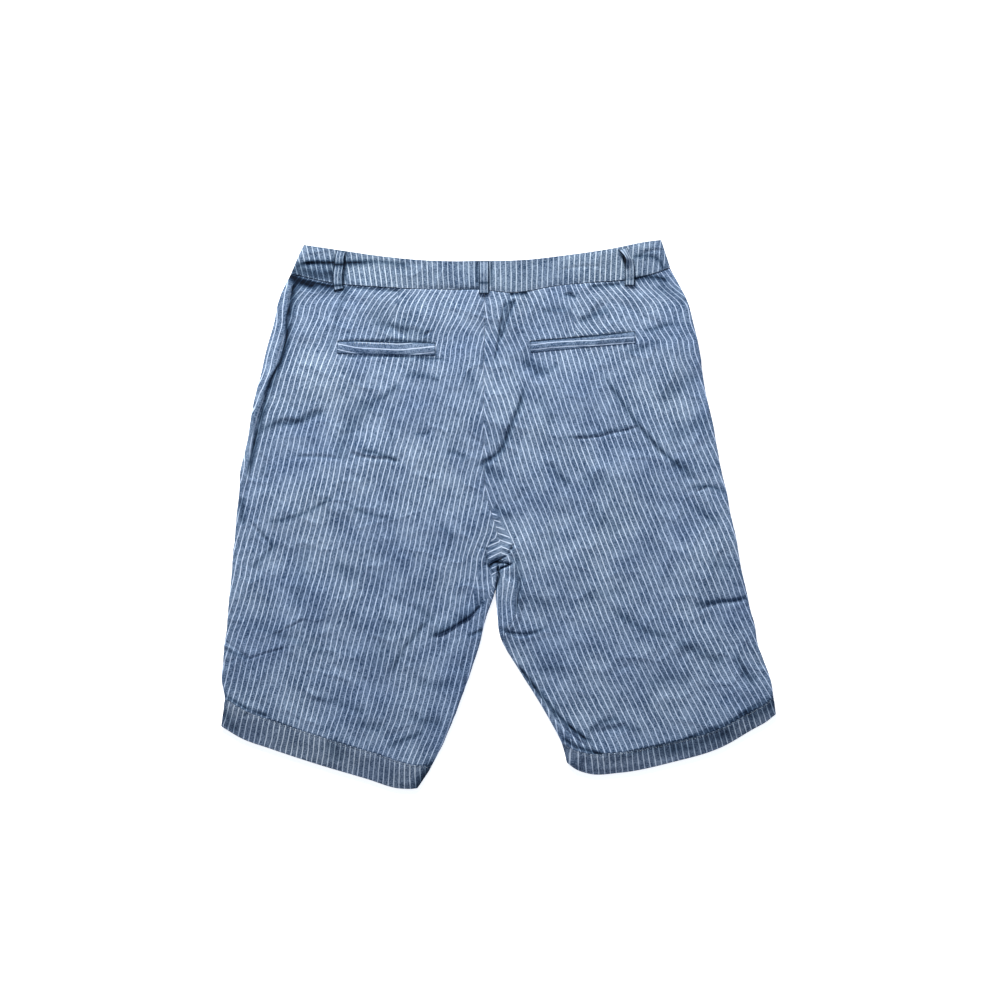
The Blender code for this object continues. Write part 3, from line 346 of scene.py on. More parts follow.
# Shadows gathered in the folds of the back: points in the photograph's pixels, how dark, and in
# millimetres how far each fades to the left and to the right of its direction of travel.
FOLD_SHADOWS = (
    # side roll, from the waistband down the left outline
    (((296.5, 272), (293.5, 285), (291, 297), (288.5, 310), (286.2, 322), (286.8, 335)), 0.97, 7.5, 0.8),
    (((286.8, 318), (287, 335), (284.4, 348), (280.4, 361), (275, 372), (265, 387)), 1, 3.2, 0.8),
    (((286.8, 320), (284, 348), (274, 374), (264, 394)), 0.45, 6.5, 0.8),
    (((277, 368), (268, 390), (264, 407), (260, 421), (256, 437), (252, 458), (246, 482)), 0.85, 3.8, 2),
    (((242, 496), (242.5, 512), (244, 526)), 0.6, 4, 4),
    # waistband and the seam under it
    (((292, 268), (309, 262.8), (330, 262.5), (350, 262.5), (371, 262.3)), 0.95, 2.8, 4.2),
    (((360, 262), (383, 262.5), (410, 265.5)), 0.6, 2.4, 3.4),
    (((290, 270), (300, 271.5), (318, 273), (346, 273)), 0.66, 5, 5),
    (((296, 275), (318, 277.5), (346, 281)), 0.5, 4, 4),
    (((286, 273.5), (295, 279.5), (304, 283.5), (318, 287.5)), 0.95, 4.6, 5.6),
    (((282, 273), (303, 279.5), (325, 284.5), (353, 289)), 0.95, 1.5, 8),
    (((343, 286.4), (362, 288.6), (383, 290.2), (404, 291.6)), 0.72, 1.4, 2),
    (((452, 289.2), (466, 289.4), (482, 289.4)), 0.75, 1.3, 1.3),
    (((508, 294.6), (518, 293.8), (529, 292.6)), 0.9, 1.4, 3),
    (((588, 286.8), (605, 285.3), (624, 283.3)), 0.75, 1.4, 3),
    (((621, 281.8), (634, 279), (647, 277), (657, 277.3), (671, 281)), 0.95, 2.4, 4.4),
    (((628, 258), (646, 256), (657, 259), (661.5, 265), (666, 274)), 0.7, 2.2, 2.4),
    (((345.5, 247), (345, 262), (344, 275), (343.2, 292)), 0.85, 2.6, 1),
    (((336, 251), (335, 262), (333.5, 275), (333, 288)), 0.5, 1, 1.8),
    (((477.3, 255), (477, 270), (477.3, 286)), 0.75, 1, 1.8),
    (((490.8, 255), (491, 270), (490.6, 288)), 0.75, 1.8, 1),
    (((618.5, 249), (621, 255), (623.5, 260), (625.5, 266)), 0.9, 3.4, 1.6),
    (((655, 286), (672, 293), (688, 304)), 0.3, 8, 8),
    # above and below the pockets
    (((353, 283), (344, 296), (338, 313), (332, 342), (328.5, 354)), 0.35, 3, 2),
    (((373, 323), (392, 326), (412, 331.5)), 0.4, 3, 3),
    (((368, 316), (402, 328), (434, 336)), 0.25, 11, 11),
    (((335, 342.3), (360, 341.4), (392, 341), (414, 342.2), (439, 344)), 1.1, 1.2, 1.2),
    (((385, 339.8), (410, 341), (438, 343)), 0.3, 2.2, 1),
    (((341, 356), (360, 356.6), (390, 356.4), (410, 357.4), (437, 359), (452, 362)), 0.75, 1.1, 1.2),
    (((392, 357.5), (415, 359), (440, 361)), 0.25, 1.2, 2.2),
    (((404, 375), (422, 376), (440, 380.5)), 0.5, 4, 3),
    (((564, 294.3), (570, 295.5), (577, 297.8)), 0.7, 2.2, 2.2),
    (((541, 312.5), (557, 309.5), (574, 312.5)), 0.4, 4, 4),
    (((579, 321), (593, 315.5), (611, 308)), 0.55, 4, 4),
    (((528, 342.6), (568, 339.5), (600, 336.6), (638, 332)), 1.1, 1.2, 1.1),
    (((641, 330.3), (655, 329), (665, 325.5), (680, 324.5)), 0.5, 3.5, 3.5),
    (((625, 353), (640, 348), (659, 341.5)), 0.35, 4, 4),
    (((522, 361), (532, 366), (546, 371)), 0.5, 6, 6),
    (((532, 374), (545, 373), (560, 363)), 0.45, 3.6, 3.6),
    # left seat
    (((400, 383), (387.4, 394.5), (374, 402)), 0.6, 3.2, 3.2),
    (((380, 398), (364, 409), (354, 421), (348, 432), (341, 450), (337.5, 461)), 0.36, 9, 9),
    (((360, 450), (379, 454), (399, 462)), 0.6, 2.6, 2.4),
    (((290, 455.3), (318, 457), (358, 459)), 0.3, 1.6, 1.6),
    (((249, 437), (274, 424), (292, 423.5), (312, 415), (328, 411.5)), 0.55, 4.4, 4),
    (((392, 423), (391.5, 434), (392.5, 447)), 0.35, 2.5, 2.5),
    (((414, 435), (430, 433)), 0.4, 2.5, 2.5),
    (((445, 452), (457, 453), (468, 459.5)), 0.5, 3, 3),
    (((267, 464), (262, 475)), 0.35, 3, 3),
    (((467, 370), (472, 385), (479, 400)), 0.25, 7, 7),
    # along the centre seam
    (((516.5, 298), (514, 303), (510.3, 312), (506.2, 323), (502, 335), (498, 346)), 0.62, 1.5, 1.5),
    (((505.6, 300), (503, 313), (500.2, 329), (498.1, 342), (496, 354), (493, 364)), 0.58, 1.4, 1.4),
    (((512, 298), (506, 316), (500, 338)), 0.42, 5, 5),
    (((515, 302), (509, 303.5), (503, 307)), 0.6, 1.5, 1.5),
    (((525, 384), (520, 402), (515, 415), (507, 435), (499, 452), (488, 458.8), (474, 467)), 0.8, 4.4, 2.4),
    (((482, 467), (494, 473), (505, 480)), 0.42, 6, 6),
    (((494, 506), (503, 513), (513, 518)), 0.4, 4, 4),
    # right seat
    (((601, 372), (612, 388), (620.5, 400), (635, 420.6), (652.5, 441), (670, 458.5), (688, 473)),
     0.62, 2.2, 2.6),
    (((672, 462), (684, 470), (696, 478)), 0.45, 6, 6),
    (((554, 438.5), (585.7, 435.5), (606, 432), (630, 425)), 0.5, 1.4, 1.8),
    (((537, 396), (546, 410), (551.5, 426)), 0.25, 6, 6),
    (((658, 399), (677, 388), (697, 377)), 0.28, 8, 8),
    (((666, 439), (688, 428), (710, 419)), 0.28, 9, 9),
    (((690, 487.7), (710, 486.5), (726, 493.5)), 0.6, 2.2, 2.4),
    (((549, 462), (558, 475), (570, 484.5)), 0.45, 4, 4),
    (((580, 477.5), (598, 480), (614, 491.5)), 0.25, 8, 8),
    # left leg
    (((265, 523), (288, 518.5), (312, 509.5), (336, 494)), 0.5, 2.5, 3),
    (((342, 500.5), (356, 509), (369, 514), (397, 519)), 0.42, 2.4, 2.4),
    (((258, 526), (266, 537), (274, 549)), 0.3, 2.5, 2.5),
    (((276, 543), (265, 556), (251, 569)), 0.5, 3, 3),
    (((310, 541), (304, 560), (301, 585), (296.5, 608)), 0.22, 8, 8),
    (((334, 562.5), (347, 570), (361, 578)), 0.28, 7, 7),
    (((439, 524.5), (447, 531.5), (455, 540.5)), 0.45, 3, 3),
    (((428, 637), (445, 629.5), (458, 622), (468, 615), (480, 606.5), (490, 598.5)), 0.45, 8, 1.2),
    (((426, 638), (445, 631), (460, 623), (470, 616), (478, 608), (482, 603)), 0.72, 2.2, 1.2),
    (((415, 604.5), (425, 613), (435, 621.5)), 0.35, 4, 4),
    (((430, 617.5), (414, 637), (403, 650), (391, 674)), 0.48, 2.4, 3.2),
    (((467, 635.5), (477, 632), (487, 627.5)), 0.6, 2.2, 2.2),
    (((250, 626), (279, 635.5), (303, 646), (336, 660)), 0.3, 7, 1.8),
    (((224, 647), (238, 654), (252, 659)), 0.45, 3, 2.5),
    (((460, 662), (464, 673), (465, 686)), 0.4, 3, 3),
    (((416, 681), (434, 685), (455, 684)), 0.3, 5, 5),
    (((313, 698.5), (332, 701), (345, 704.5), (370, 714)), 0.3, 5, 4),
    (((410, 717), (428, 722), (444, 724.5)), 0.35, 6, 6),
    (((389, 613), (382, 640), (377.5, 670)), 0.22, 8, 8),
    (((386, 747), (402, 740.5), (425, 731)), 0.5, 3, 3),
    (((356, 721), (368, 726), (383, 728)), 0.3, 5, 5),
    # hem of the left leg
    (((222, 694), (238, 703), (250, 709.5), (272, 717.5)), 0.7, 2.4, 2),
    (((330, 739), (336, 750), (340, 762)), 0.36, 11, 11),
    (((434, 761), (427, 772), (416, 793)), 0.85, 2, 7),
    (((224, 709), (229, 720), (238, 731)), 0.5, 5, 5),
    # right leg
    (((515.5, 555), (518.5, 580), (517.3, 614)), 0.4, 5, 5),
    (((498, 627.5), (510, 632.5), (520, 634.5), (532, 632.5), (549, 627)), 0.65, 2.4, 2.4),
    (((522, 597), (536, 601), (550, 605)), 0.28, 5, 5),
    (((610, 608), (628, 620), (641, 628), (658, 634), (675, 639)), 0.45, 4, 4),
    (((674, 641), (700, 652), (725, 663.5)), 0.45, 5, 5),
    (((740, 673), (758, 679)), 0.5, 4, 4),
    (((692, 605), (708, 603), (721, 601), (735, 600), (748, 596.5)), 0.55, 3, 3),
    (((733, 653), (744, 669), (753, 686)), 0.5, 4, 3),
    (((646, 684), (668, 678), (692, 680.5)), 0.25, 7, 7),
    (((694, 505.5), (706, 515), (718, 525.5)), 0.4, 4, 4),
    (((588, 510), (602, 520), (620, 531)), 0.3, 8, 8),
    (((551, 528), (553, 557)), 0.28, 4, 4),
    (((538, 667), (552, 668), (565, 666)), 0.3, 7, 7),
    (((708, 562.5), (722, 565), (734, 568.5)), 0.25, 7, 7),
    (((583, 594.3), (604, 593), (625, 591.7)), 0.25, 6, 6),
    # inseam roll and hem of the right leg
    (((514, 660), (528, 678), (544, 697.5), (562, 718.5), (580, 734), (596, 744.5)), 0.85, 2, 3.2),
    (((561, 736.5), (580, 748), (605, 754)), 0.85, 2.8, 2.2),
    (((586, 733), (596, 726), (604, 721), (622, 717.5)), 0.5, 3, 3),
    (((602, 727.5), (622, 727), (643, 729.5)), 0.35, 3.5, 3.5),
    (((604, 756), (634, 751), (661, 745), (685, 738.5), (706, 730), (730, 720.5), (751, 707), (774, 694)),
     0.7, 1.6, 4.6),
    (((650, 754), (685, 746), (712, 737), (738, 727)), 0.56, 6, 8),
    (((744, 717), (762, 708), (780, 700)), 0.6, 7, 7),
    # pit of the fork
    (((486.2, 546), (486.8, 555), (488.6, 567)), 0.9, 1.2, 1.2),
    (((513.6, 543.4), (511.4, 548.4), (508.4, 554.2)), 1, 1.1, 1.1),
    (((488.4, 568), (490.6, 565.2), (493.4, 562.6), (496.6, 561.8), (501, 563)), 1.5, 3.4, 2.6),
    (((494, 562), (498.5, 559.8), (502.5, 557.8), (506.8, 556)), 1.3, 1.2, 1.2),
    (((495.5, 561.6), (503, 562.9), (511, 564.3)), 1.35, 1.3, 1.2),
    (((500.5, 560.8), (503, 560.4), (506, 559.2)), 0.8, 0.7, 0.7),
    (((496.8, 571.4), (502.5, 567.4), (512, 564.2)), 1.25, 1.3, 1.3),
    (((488, 565.4), (491, 569), (494.2, 573)), 0.95, 1.2, 1.2),
    (((497, 562), (497.7, 568), (498.9, 574), (497.9, 579), (496.3, 586), (495, 595)), 0.93, 2.2, 1.6),
    (((520.5, 575), (519.8, 585), (518.8, 593), (515.8, 614)), 0.5, 2, 2),
)
# The same where tacks pinch the belt loops, and where they cross a crease
TACKS = (
    (((470, 283.6), (498, 283.6)), 0.85, 1.5, 1.5), (((320, 265.5), (361, 264.5)), 1.1, 3, 3),
    (((322, 285.4), (358, 286.4)), 0.75, 2, 2),
    (((343, 246), (342.5, 262), (341, 275), (341, 292)), 0.4, 2, 2),
    (((618, 280.4), (643, 278.6)), 0.6, 1.2, 1.2),
)
FOLD_DEPTH = 0.8  # millimetres of trough under the darkest shadow
SHADOW_FADE = 0.16  # of a shadow's length, at each of its ends
SHADOW_UNEVEN = ((0.25, 9.0, 51),)  # here and below such rows are height, size and seed of a noise
# Openings of the back pockets, which show as dark lines along their welts
WELT_LINES = (
    (((337, 356.6), (360, 357.3), (400, 357.3), (435, 358.3), (448, 361.5)), 0.3, 1.2, 0.2, 5, -1),
    (((336.5, 341.4), (360, 340.6), (398, 340.6), (436, 343.2)), 0.3, 1.2, 0.2, 4),
    (((529.5, 341.6), (575, 337.4), (635.5, 331)), 0.3, 1.2, 0.2, 4),
)
# Creases of the front, under the garment, in millimetres of the tables
FRONT_CREASES = (
    (((-250, 190), (-205, 160), (-140, 166)), 0.9, 3.6),
    (((-285, -30), (-230, -58), (-160, -50)), 0.8, 4.2),
    (((-110, -150), (-160, -196), (-235, -214)), 0.9, 3.4), (((-25, -28), (-62, 6), (-110, 20)), 1, 2.8),
    (((-20, -48), (-75, -40), (-128, -62)), 0.8, 3.4), (((-190, 60), (-165, 10), (-170, -30)), 0.6, 4.6),
    (((215, 150), (170, 128), (110, 140)), 0.9, 3.6), (((280, -20), (222, -44), (160, -30)), 0.8, 4.4),
    (((95, -140), (150, -180), (240, -196)), 0.9, 3.2), (((18, -30), (60, 4), (105, 14)), 1, 2.8),
    (((24, -60), (80, -58), (130, -84)), 0.7, 3.4), (((170, 80), (150, 30), (160, -10)), 0.6, 4.8),
    (((290, -130), (255, -150), (220, -146)), 0.8, 2.6), (((-60, 245), (-20, 236), (40, 243)), 0.6, 3),
)
# Short seeded wrinkles: how many, their length, half width and depth from and to.
WRINKLES = (
    (150, (18.0, 55.0), (2.2, 4.6), (0.10, 0.28)),
    (260, (8.0, 22.0), (1.0, 2.0), (0.07, 0.17)),
)
WRINKLE_FIELD = 330.0  # they lie within this distance of the tables' zero point
WRINKLE_TURN = (0.25, 0.7)  # radians from +X: the middle and the spread
WRINKLE_BOW = 0.16  # of their length
WRINKLE_SIGNS = (1.0, 1.0, -0.8)  # two troughs to one ridge

# Sewing details, millimetres
SEAM_DIP = 0.36  # how far a seam draws the cloth in, and over what distance
SEAM_DIP_REACH = 1.9
PUCKERS = ((0.5, 5.0, 7),)
KEPT_FULL = 12.0  # the legs' rolls aren't thinned this near each other where they touch
SEAM_SHARE = 0.0015  # of a row, left open on each side of the waist seam and the hem's stitching
SEAM_GAP = 0.04  # left open along a panel's side edge
SEAM_CRISPNESS = 2.0  # edges sewn flat are rounded over a smaller part of their thickness
ROLL_SHADE = 0.5  # painted shade where the cloth turns down at an edge
WAIST_LIP_SHADE = 0.05  # and under the lips over a panel's two ends
HEM_LIP_SHADE = 0.45
LIP_REACH = 2.0
LIP_UNEVEN = ((0.8, 13.0, 72),)
FOLDED_SHADE = 1.05  # and along a belt loop's edges
FOLDED_REACH = 1.3
WORN_AND_LIT_REACH = 1.4  # how far the wear and painted highlight of an edge reach in
HEM_RIPPLE = ((0.26, 17.0, 91), (0.16, 7.0, 92))
HEM_SEAM_REACH = 12.0  # the hem takes up the relief over this distance from its seam
HEM_FOLD_REACH = 8.0  # and gives it up over this one towards its fold
HEM_GROOVE = (0.35, 1.2)  # how deep its stitching sinks, and how wide
HEM_STITCH = 2.2  # of the stitching, below the hem's upper edge
STRIPE_WOBBLE = ((0.13, 38.0, 0), (0.07, 14.0, 1), (0.03, 6.0, 2))  # stripes waver as cloth crumples
BACK_WOBBLE_SEED = 60
BAND_WOBBLE_SEED = 70
FRONT_WOBBLE_SEED = 80
HEM_JOG = 0.38  # stripes of the hem against those of the leg
HEM_CORNER = {-1.0: (0.06, 4.0), 1.0: (0.0, 4.0)}  # the fold's share cut off at its inner corner
HEM_FAN = {-1.0: (0.0, -0.056), 1.0: (0.02, 0.052)}  # stripes per millimetre down, at its two ends
BAND_HEIGHT = 34.0
BAND_HELD = 0.6  # how far the waistband is held down beside the waist seam, and over what distance
BAND_HELD_SHARE = (
    (-240, 0.3), (-185, 0.1), (-112, 0.3), (-98, 1), (0, 1), (20, 0.6), (95, 1), (120, 0.3), (190, 0.1),
)
BAND_HELD_REACH = 3.2
BAND_TOP_SHADE = 0.5  # painted shade on its folded top: how dark it is, and over what distance
BAND_TOP_REACH = 0.9
BAND_RELIEF_REACH = 6.0  # its relief is halved within this distance of the top
LOOP_SHELL = 1.1
WELT_SHELL = 0.8
WELT_THINNEST = 0.12
WELT_UNEVEN = ((0.05, 15.0, 33),)
# how strongly a welt's edges show wear and painted highlight
WELT_WEAR_AND_LIGHT = 0.3
WELT_HELD = 1.0  # how far a welt's lower edge is held down, and over what distance
WELT_HELD_REACH = 3.4
WELT_LOW_RIM_SHADE = {"pocket_welt_left": 0.75, "pocket_welt_right": 0.2}  # how dark the painted shadow under their lower edges is
WELT_TOP_RIM_SHADE = (1.2, 1.4)  # how dark the painted shadow along the upper edge is, and over what distance
WELT_LOW_REACH = 1.2
# how dark the painted shade at a welt's ends is, and over what distance
WELT_END_RIM_SHADE = (0.6, 1.0)
# the painted shade of a welt goes no darker than this
WELT_DARKEST = 0.97
LOOP_STRIPE_PITCH = 3.9  # their cloth is cut on another part of the stripes
LOOP_RIPPLE = ((0.1, 4.0, 21),)
LOOP_GROOVE = (0.16, 1.6, 0.5)  # of its two rows of stitching: depth, inset, squared width
WELT_STRIPES = {"pocket_welt_left": (4.0, 10.8), "pocket_welt_right": (5.3, 11.3)}
WELT_SAG = {
    # how far the stripes sag from there, by place along the welt
    "pocket_welt_left": ((-58.0, 0.0), (-38.0, 4.0), (-12.0, 5.0), (22.0, 5.0), (44.0, 2.6), (58.0, 0.8)),
    "pocket_welt_right": ((-62.0, 0.0), (-30.0, -0.6), (20.0, 1.2), (62.0, 2.0)),
}
WELT_TICKS = (-42.0, 13.0, 4.6)  # stitches that show at the left welt's upper edge: from, to, apart
TICK_LENGTH = 3.0
TICK_START = 0.9  # below that edge
BAND_STITCH = 1.7  # of its rows of stitching, from the waistband's edges
TACK = 3.2  # from the ends of a belt loop
STITCH_SEED = 5
STITCH_SIDES = 5
STITCH_RINGS = ((-0.44, 0.7), (-0.2, 1.0), (0.2, 1.0), (0.44, 0.7))  # share of its length, thickness
STITCH_FLATNESS = 0.8
STITCH_LENGTHS = (0.9, 1.06)  # they are drawn this unevenly, and turned by up to so much
STITCH_TURN = 0.06
HEM_STITCH_ENDS = (0.012, 0.985)  # shares of a layer's arc, from the side to the inseam
HEM_STITCH_PLACES = 260

# How finely the shells are cut: places along a piece, and steps beside its edges
NEAR_EDGE = (0.0, 0.1, 0.3, 0.6, 1.05, 1.7, 2.6, 3.8)
PANEL_ROWS = 391
BACK_COLUMNS = 220
FINER_ROWS = (12.9, 1.1, 0.9)  # the row where they are closest, over how many, and how much closer
FINER_EDGES = 0.2  # and the columns towards both edges
FRONT_ROWS = 265
TURNED_PLACES = 16
EDGE_PLACES = 9
FRONT_MIDDLE = 80
BAND_ROWS = 34
BAND_COLUMNS = (334, 292)  # of the left half with the lap, and of the right half
HEM_ROWS = 28
HEM_COLUMNS = 330
LOOP_GRID = (49, 19)
WELT_GRID = (28, 118)
INNER_STEP = 3  # the hidden side of a shell has every third row and column
INNER_CLEAR = 0.2  # and stays this far off the floor
BAKE_RIM = 0.012  # width of the rims on the bake map
ROW_LENGTH = 28.0  # about how long one row of the tables is down the leg
PROBE = 0.02  # the step over which slopes of a surface are taken


def along(rows, at):
    """A smooth curve through evenly counted rows, read at a row number with a fraction."""
    rows = np.asarray(rows, float)
    at = np.clip(np.asarray(at, float), 0.0, len(rows) - 1.0)
    low = np.minimum(at.astype(int), len(rows) - 2)
    f = (at - low)[..., None]
    before = rows[np.maximum(low - 1, 0)]
    start = rows[low]
    end = rows[low + 1]
    after = rows[np.minimum(low + 2, len(rows) - 1)]
    first = 0.5 * (end - before)
    last = 0.5 * (after - start)
    cubic = 2.0 * (start - end) + first + last
    square = 3.0 * (end - start) - 2.0 * first - last
    return start + f * (first + f * (square + f * cubic))


def hermite(f, span, start, start_slope, end, end_slope):
    """The cubic between two values with their slopes, at a share of the span between them."""
    return (
        start * (1 + 2 * f) * (1 - f) ** 2
        + start_slope * span * f * (1 - f) ** 2
        + end * f * f * (3 - 2 * f)
        + end_slope * span * f * f * (f - 1)
    )


def lookup(table, at):
    """A smooth reading of a two-column table, with slopes from its neighbours."""
    x, y = np.asarray(table, float).T
    slope = np.gradient(y, x)
    at = np.clip(at, x[0], x[-1])
    i = np.clip(np.searchsorted(x, at) - 1, 0, len(x) - 2)
    span = x[i + 1] - x[i]
    return hermite((at - x[i]) / span, span, y[i], slope[i], y[i + 1], slope[i + 1])


def ease(f):
    f = np.clip(f, 0.0, 1.0)
    return f * f * (3.0 - 2.0 * f)


def bell(distance, width):
    """1 at no distance, 0 beyond about twice the width."""
    return np.exp(-((distance / width) ** 2))


def darkened(*shadows):
    """How dark several shadows over each other are together."""
    light = 1.0
    for shadow in shadows:
        light = light * (1.0 - shadow)
    return 1.0 - light


def flat_top(distance, half, slope):
    return 1.0 - ease((np.abs(distance) - half) / slope)


def below_seam(x, y):
    """1 on the waistband and just below its seam, falling to 0 on the panels."""
    depth = lookup(WAIST_SEAM, x) - y
    span = LIFT_FADE_BELOW_SEAM - LIFT_FLAT_BELOW_SEAM
    return 1.0 - ease((depth - LIFT_FLAT_BELOW_SEAM) / span)


def lift(x, y):
    """How far the front is lifted off the floor by what lies below it."""
    highest = np.zeros(np.broadcast(x, y).shape)
    for middle, half, slope, height in LIFTS:
        highest = np.maximum(highest, height * flat_top(x - middle, half, slope))
    return highest * below_seam(x, y)


def lap_swell(x, y):
    """How far the lapped ends of the waistband lift the back."""
    middle = CENTRE_FRONT + 0.5 * LAP
    return LAP_RISE * flat_top(x - middle, 0.5 * LAP + LAP_MARGIN, LAP_SLOPE) * below_seam(x, y)


def lap_raise(x):
    """How far the upper end of the waistband rises over the lower one."""
    return LAP_RISE * ease((CENTRE_FRONT + LAP + LAP_STEP[0] - x) / LAP_STEP[1])


def swells(x, y):
    height = np.zeros(np.broadcast(x, y).shape)
    for x0, y0, x1, y1, half, rise in SWELLS:
        length = math.hypot(x1 - x0, y1 - y0)
        ux, uy = (x1 - x0) / length, (y1 - y0) / length
        run = (x - x0) * ux + (y - y0) * uy
        off = (x - x0) * uy - (y - y0) * ux
        beyond = np.maximum(np.maximum(-run, run - length), 0.0)
        height = height + rise * np.exp(-(off**2 + beyond**2) / half**2)
    return height


def front_level(x, y, cloth):
    """Middle surface of the layer on the floor."""
    return 0.5 * cloth + lift(x, y)


def back_level(x, y, cloth, hollow_loss=0.0):
    """Middle surface of the upper layer."""
    hollow = lookup(HOLLOW, y) - hollow_loss + swells(x, y)
    return 1.5 * cloth + lift(x, y) + lap_swell(x, y) + hollow


class Leg:
    """One leg's rows, from the waist seam to the hem's fold."""

    def __init__(self, side, inseam, inseam_turned, bow):
        self.side = np.array(side, float)
        self.inner = np.array(CENTRE + inseam, float)
        self.inner_turned = np.interp(np.arange(LAST_ROW + 1), *np.array(inseam_turned).T)
        self.bow = bow
        self.hand = math.copysign(1.0, side[0][0])

    def plan(self, share, row):
        """The place a share of the way from the side edge to the inner edge of a row."""
        start = along(self.side[:, :2], row)
        end = along(self.inner, row)
        place = start + (end - start) * share[..., None]
        x, y = place[..., 0], place[..., 1]
        near_waist = np.clip(1.0 - row / WAIST_BLEND_ROWS, 0.0, 1.0) ** 2
        chord_start, chord_end = self.side[0, :2], self.inner[0]
        chord_share = (x - chord_start[0]) / (chord_end[0] - chord_start[0])
        chord = chord_start[1] + (chord_end[1] - chord_start[1]) * chord_share
        y = y + near_waist * (lookup(WAIST_SEAM, x) - chord)
        near_hem = np.clip((row - FORK_ROW) / (HEM_ROW - FORK_ROW), 0.0, 1.0) ** 2
        y = y - near_hem * lookup(self.bow, share)
        return x, y

    def curl(self, row):
        """0 where a row ends at the centre seam, 1 where it turns under at the inseam."""
        return ease(row - FORK_ROW)

    def turned(self, row):
        return np.maximum(along(self.side[:, 2:], row)[..., 0], 0.0)

    def inner_turned_at(self, row):
        return np.maximum(along(self.inner_turned[:, None], row)[..., 0], 0.0)

    def edge(self, row, cloth, hollow_loss=0.0):
        """Width, height and quarter arc of the roll at the side edge."""
        x, y = np.moveaxis(along(self.side[:, :2], row), -1, 0)
        height = 0.5 * (back_level(x, y, cloth, hollow_loss) - front_level(x, y, cloth))
        width = height + EDGE_SOFTNESS
        return width, height, 0.5 * math.pi * np.sqrt(0.5 * (width**2 + height**2))

    def span(self, row, cloth, hollow_loss=0.0):
        """Length of a row, the arc of one of its layers, and its insets."""
        start = along(self.side[:, :2], row)
        end = along(self.inner, row)
        length = np.hypot(*np.moveaxis(end - start, -1, 0))
        width, _, quarter = self.edge(row, cloth, hollow_loss)
        turn = 0.5 * math.pi * self.curl(row)
        shared = SEAM_GAP * (1.0 - ease(row - LEGS_ROW))
        inner_inset = 0.5 * cloth * np.sin(turn) + shared
        flat = length - 0.5 * cloth - inner_inset - width - width * np.sin(turn)
        return length, quarter + flat + quarter * self.curl(row), width, quarter, flat

    def middle(self, row, arc, cloth, hollow_loss=0.0, level=None, at=None):
        """Points of the middle surface. `level` and `at` stand in for the layers' heights and
        for the plan where a piece has its own."""
        length, total, width, quarter, flat = self.span(row, cloth, hollow_loss)
        curl = self.curl(row)
        folds_back = (arc > total) & (curl > 0.5)
        below = (arc > 0.0) & ~folds_back
        run = np.where(folds_back, 2.0 * total - arc, np.abs(arc))
        closes = (arc < 0.0) & (run > total) & (curl > 0.5)
        run = np.where(closes, 2.0 * total - run, run)
        below = below | closes
        at_side = 0.5 * math.pi * np.clip(run / quarter, 0.0, 1.0)
        past = np.where(curl > 0.0, run - quarter - flat, 0.0)
        at_inner = 0.5 * math.pi * np.clip(past / quarter, 0.0, curl)
        straight = np.where(curl > 0.0, np.clip(run - quarter, 0.0, flat), run - quarter)
        straight = np.where(run < quarter, 0.0, straight)
        distance = width * (1.0 - np.cos(at_side)) + straight + width * np.sin(at_inner)
        share = (0.5 * cloth + distance) / length
        x, y = (at or self.plan)(share, row)
        low, high = (level or self.levels)(x, y, cloth, hollow_loss)
        reach = np.sin(at_side) * np.cos(at_inner)
        half = 0.5 * (high - low) * reach
        z = 0.5 * (high + low) + np.where(below, -half, half)
        z = z + np.where(below, 0.0, self.turned_rise(row, run, total))
        return np.stack([x, y, z], axis=-1)

    @staticmethod
    def levels(x, y, cloth, hollow_loss):
        return front_level(x, y, cloth), back_level(x, y, cloth, hollow_loss)

    def turned_rise(self, row, run, total):
        """The roll of the front panel where it is turned onto the top."""
        rise = np.zeros(run.shape)
        ends = ((self.turned(row), run), (self.inner_turned_at(row), total - run))
        for strip, from_edge in ends:
            strip_safe = np.maximum(strip, 0.01)
            height = np.minimum(TURNED_HEIGHT, TURNED_SLOPE * strip)
            share = from_edge / strip_safe
            bulge = np.sin(0.5 * math.pi * np.clip(share, 0.0, 1.0)) ** 2
            rise = rise + height * bulge * (1.0 - ease((share - 1.0) * strip_safe / TURNED_RUNOUT))
        return rise


LEFT = Leg(LEFT_SIDE, LEFT_INSEAM, LEFT_INSEAM_TURNED, LEFT_HEM_BOW)
RIGHT = Leg(RIGHT_SIDE, RIGHT_INSEAM, RIGHT_INSEAM_TURNED, RIGHT_HEM_BOW)


def from_photo(px, py):
    """Millimetres of the tables from pixels of the photograph."""
    x = (np.asarray(px, float) - PHOTO_MIDDLE[0]) * MM_PER_PIXEL
    y = (PHOTO_MIDDLE[1] - np.asarray(py, float)) * MM_PER_PIXEL
    return x, y


def to_photo(x, y):
    return x / MM_PER_PIXEL + PHOTO_MIDDLE[0], PHOTO_MIDDLE[1] - y / MM_PER_PIXEL


def placed(points):
    return (points - ORIGIN) * MM


# ---------------------------------------------------------------- relief of the cloth


def value_noise(x, y, size, seed):
    """Smooth noise from -1 to 1 with features about as large as `size`."""
    lattice = np.random.RandomState(seed).uniform(-1.0, 1.0, (64, 64))
    u, v = x / size + 17.3, y / size + 5.7
    i, j = np.floor(u).astype(int), np.floor(v).astype(int)
    f, g = u - i, v - j
    f = f * f * f * (f * (6.0 * f - 15.0) + 10.0)
    g = g * g * g * (g * (6.0 * g - 15.0) + 10.0)
    a = lattice[i % 64, j % 64]
    b = lattice[(i + 1) % 64, j % 64]
    c = lattice[i % 64, (j + 1) % 64]
    d = lattice[(i + 1) % 64, (j + 1) % 64]
    return (a * (1 - f) + b * f) * (1 - g) + (c * (1 - f) + d * f) * g


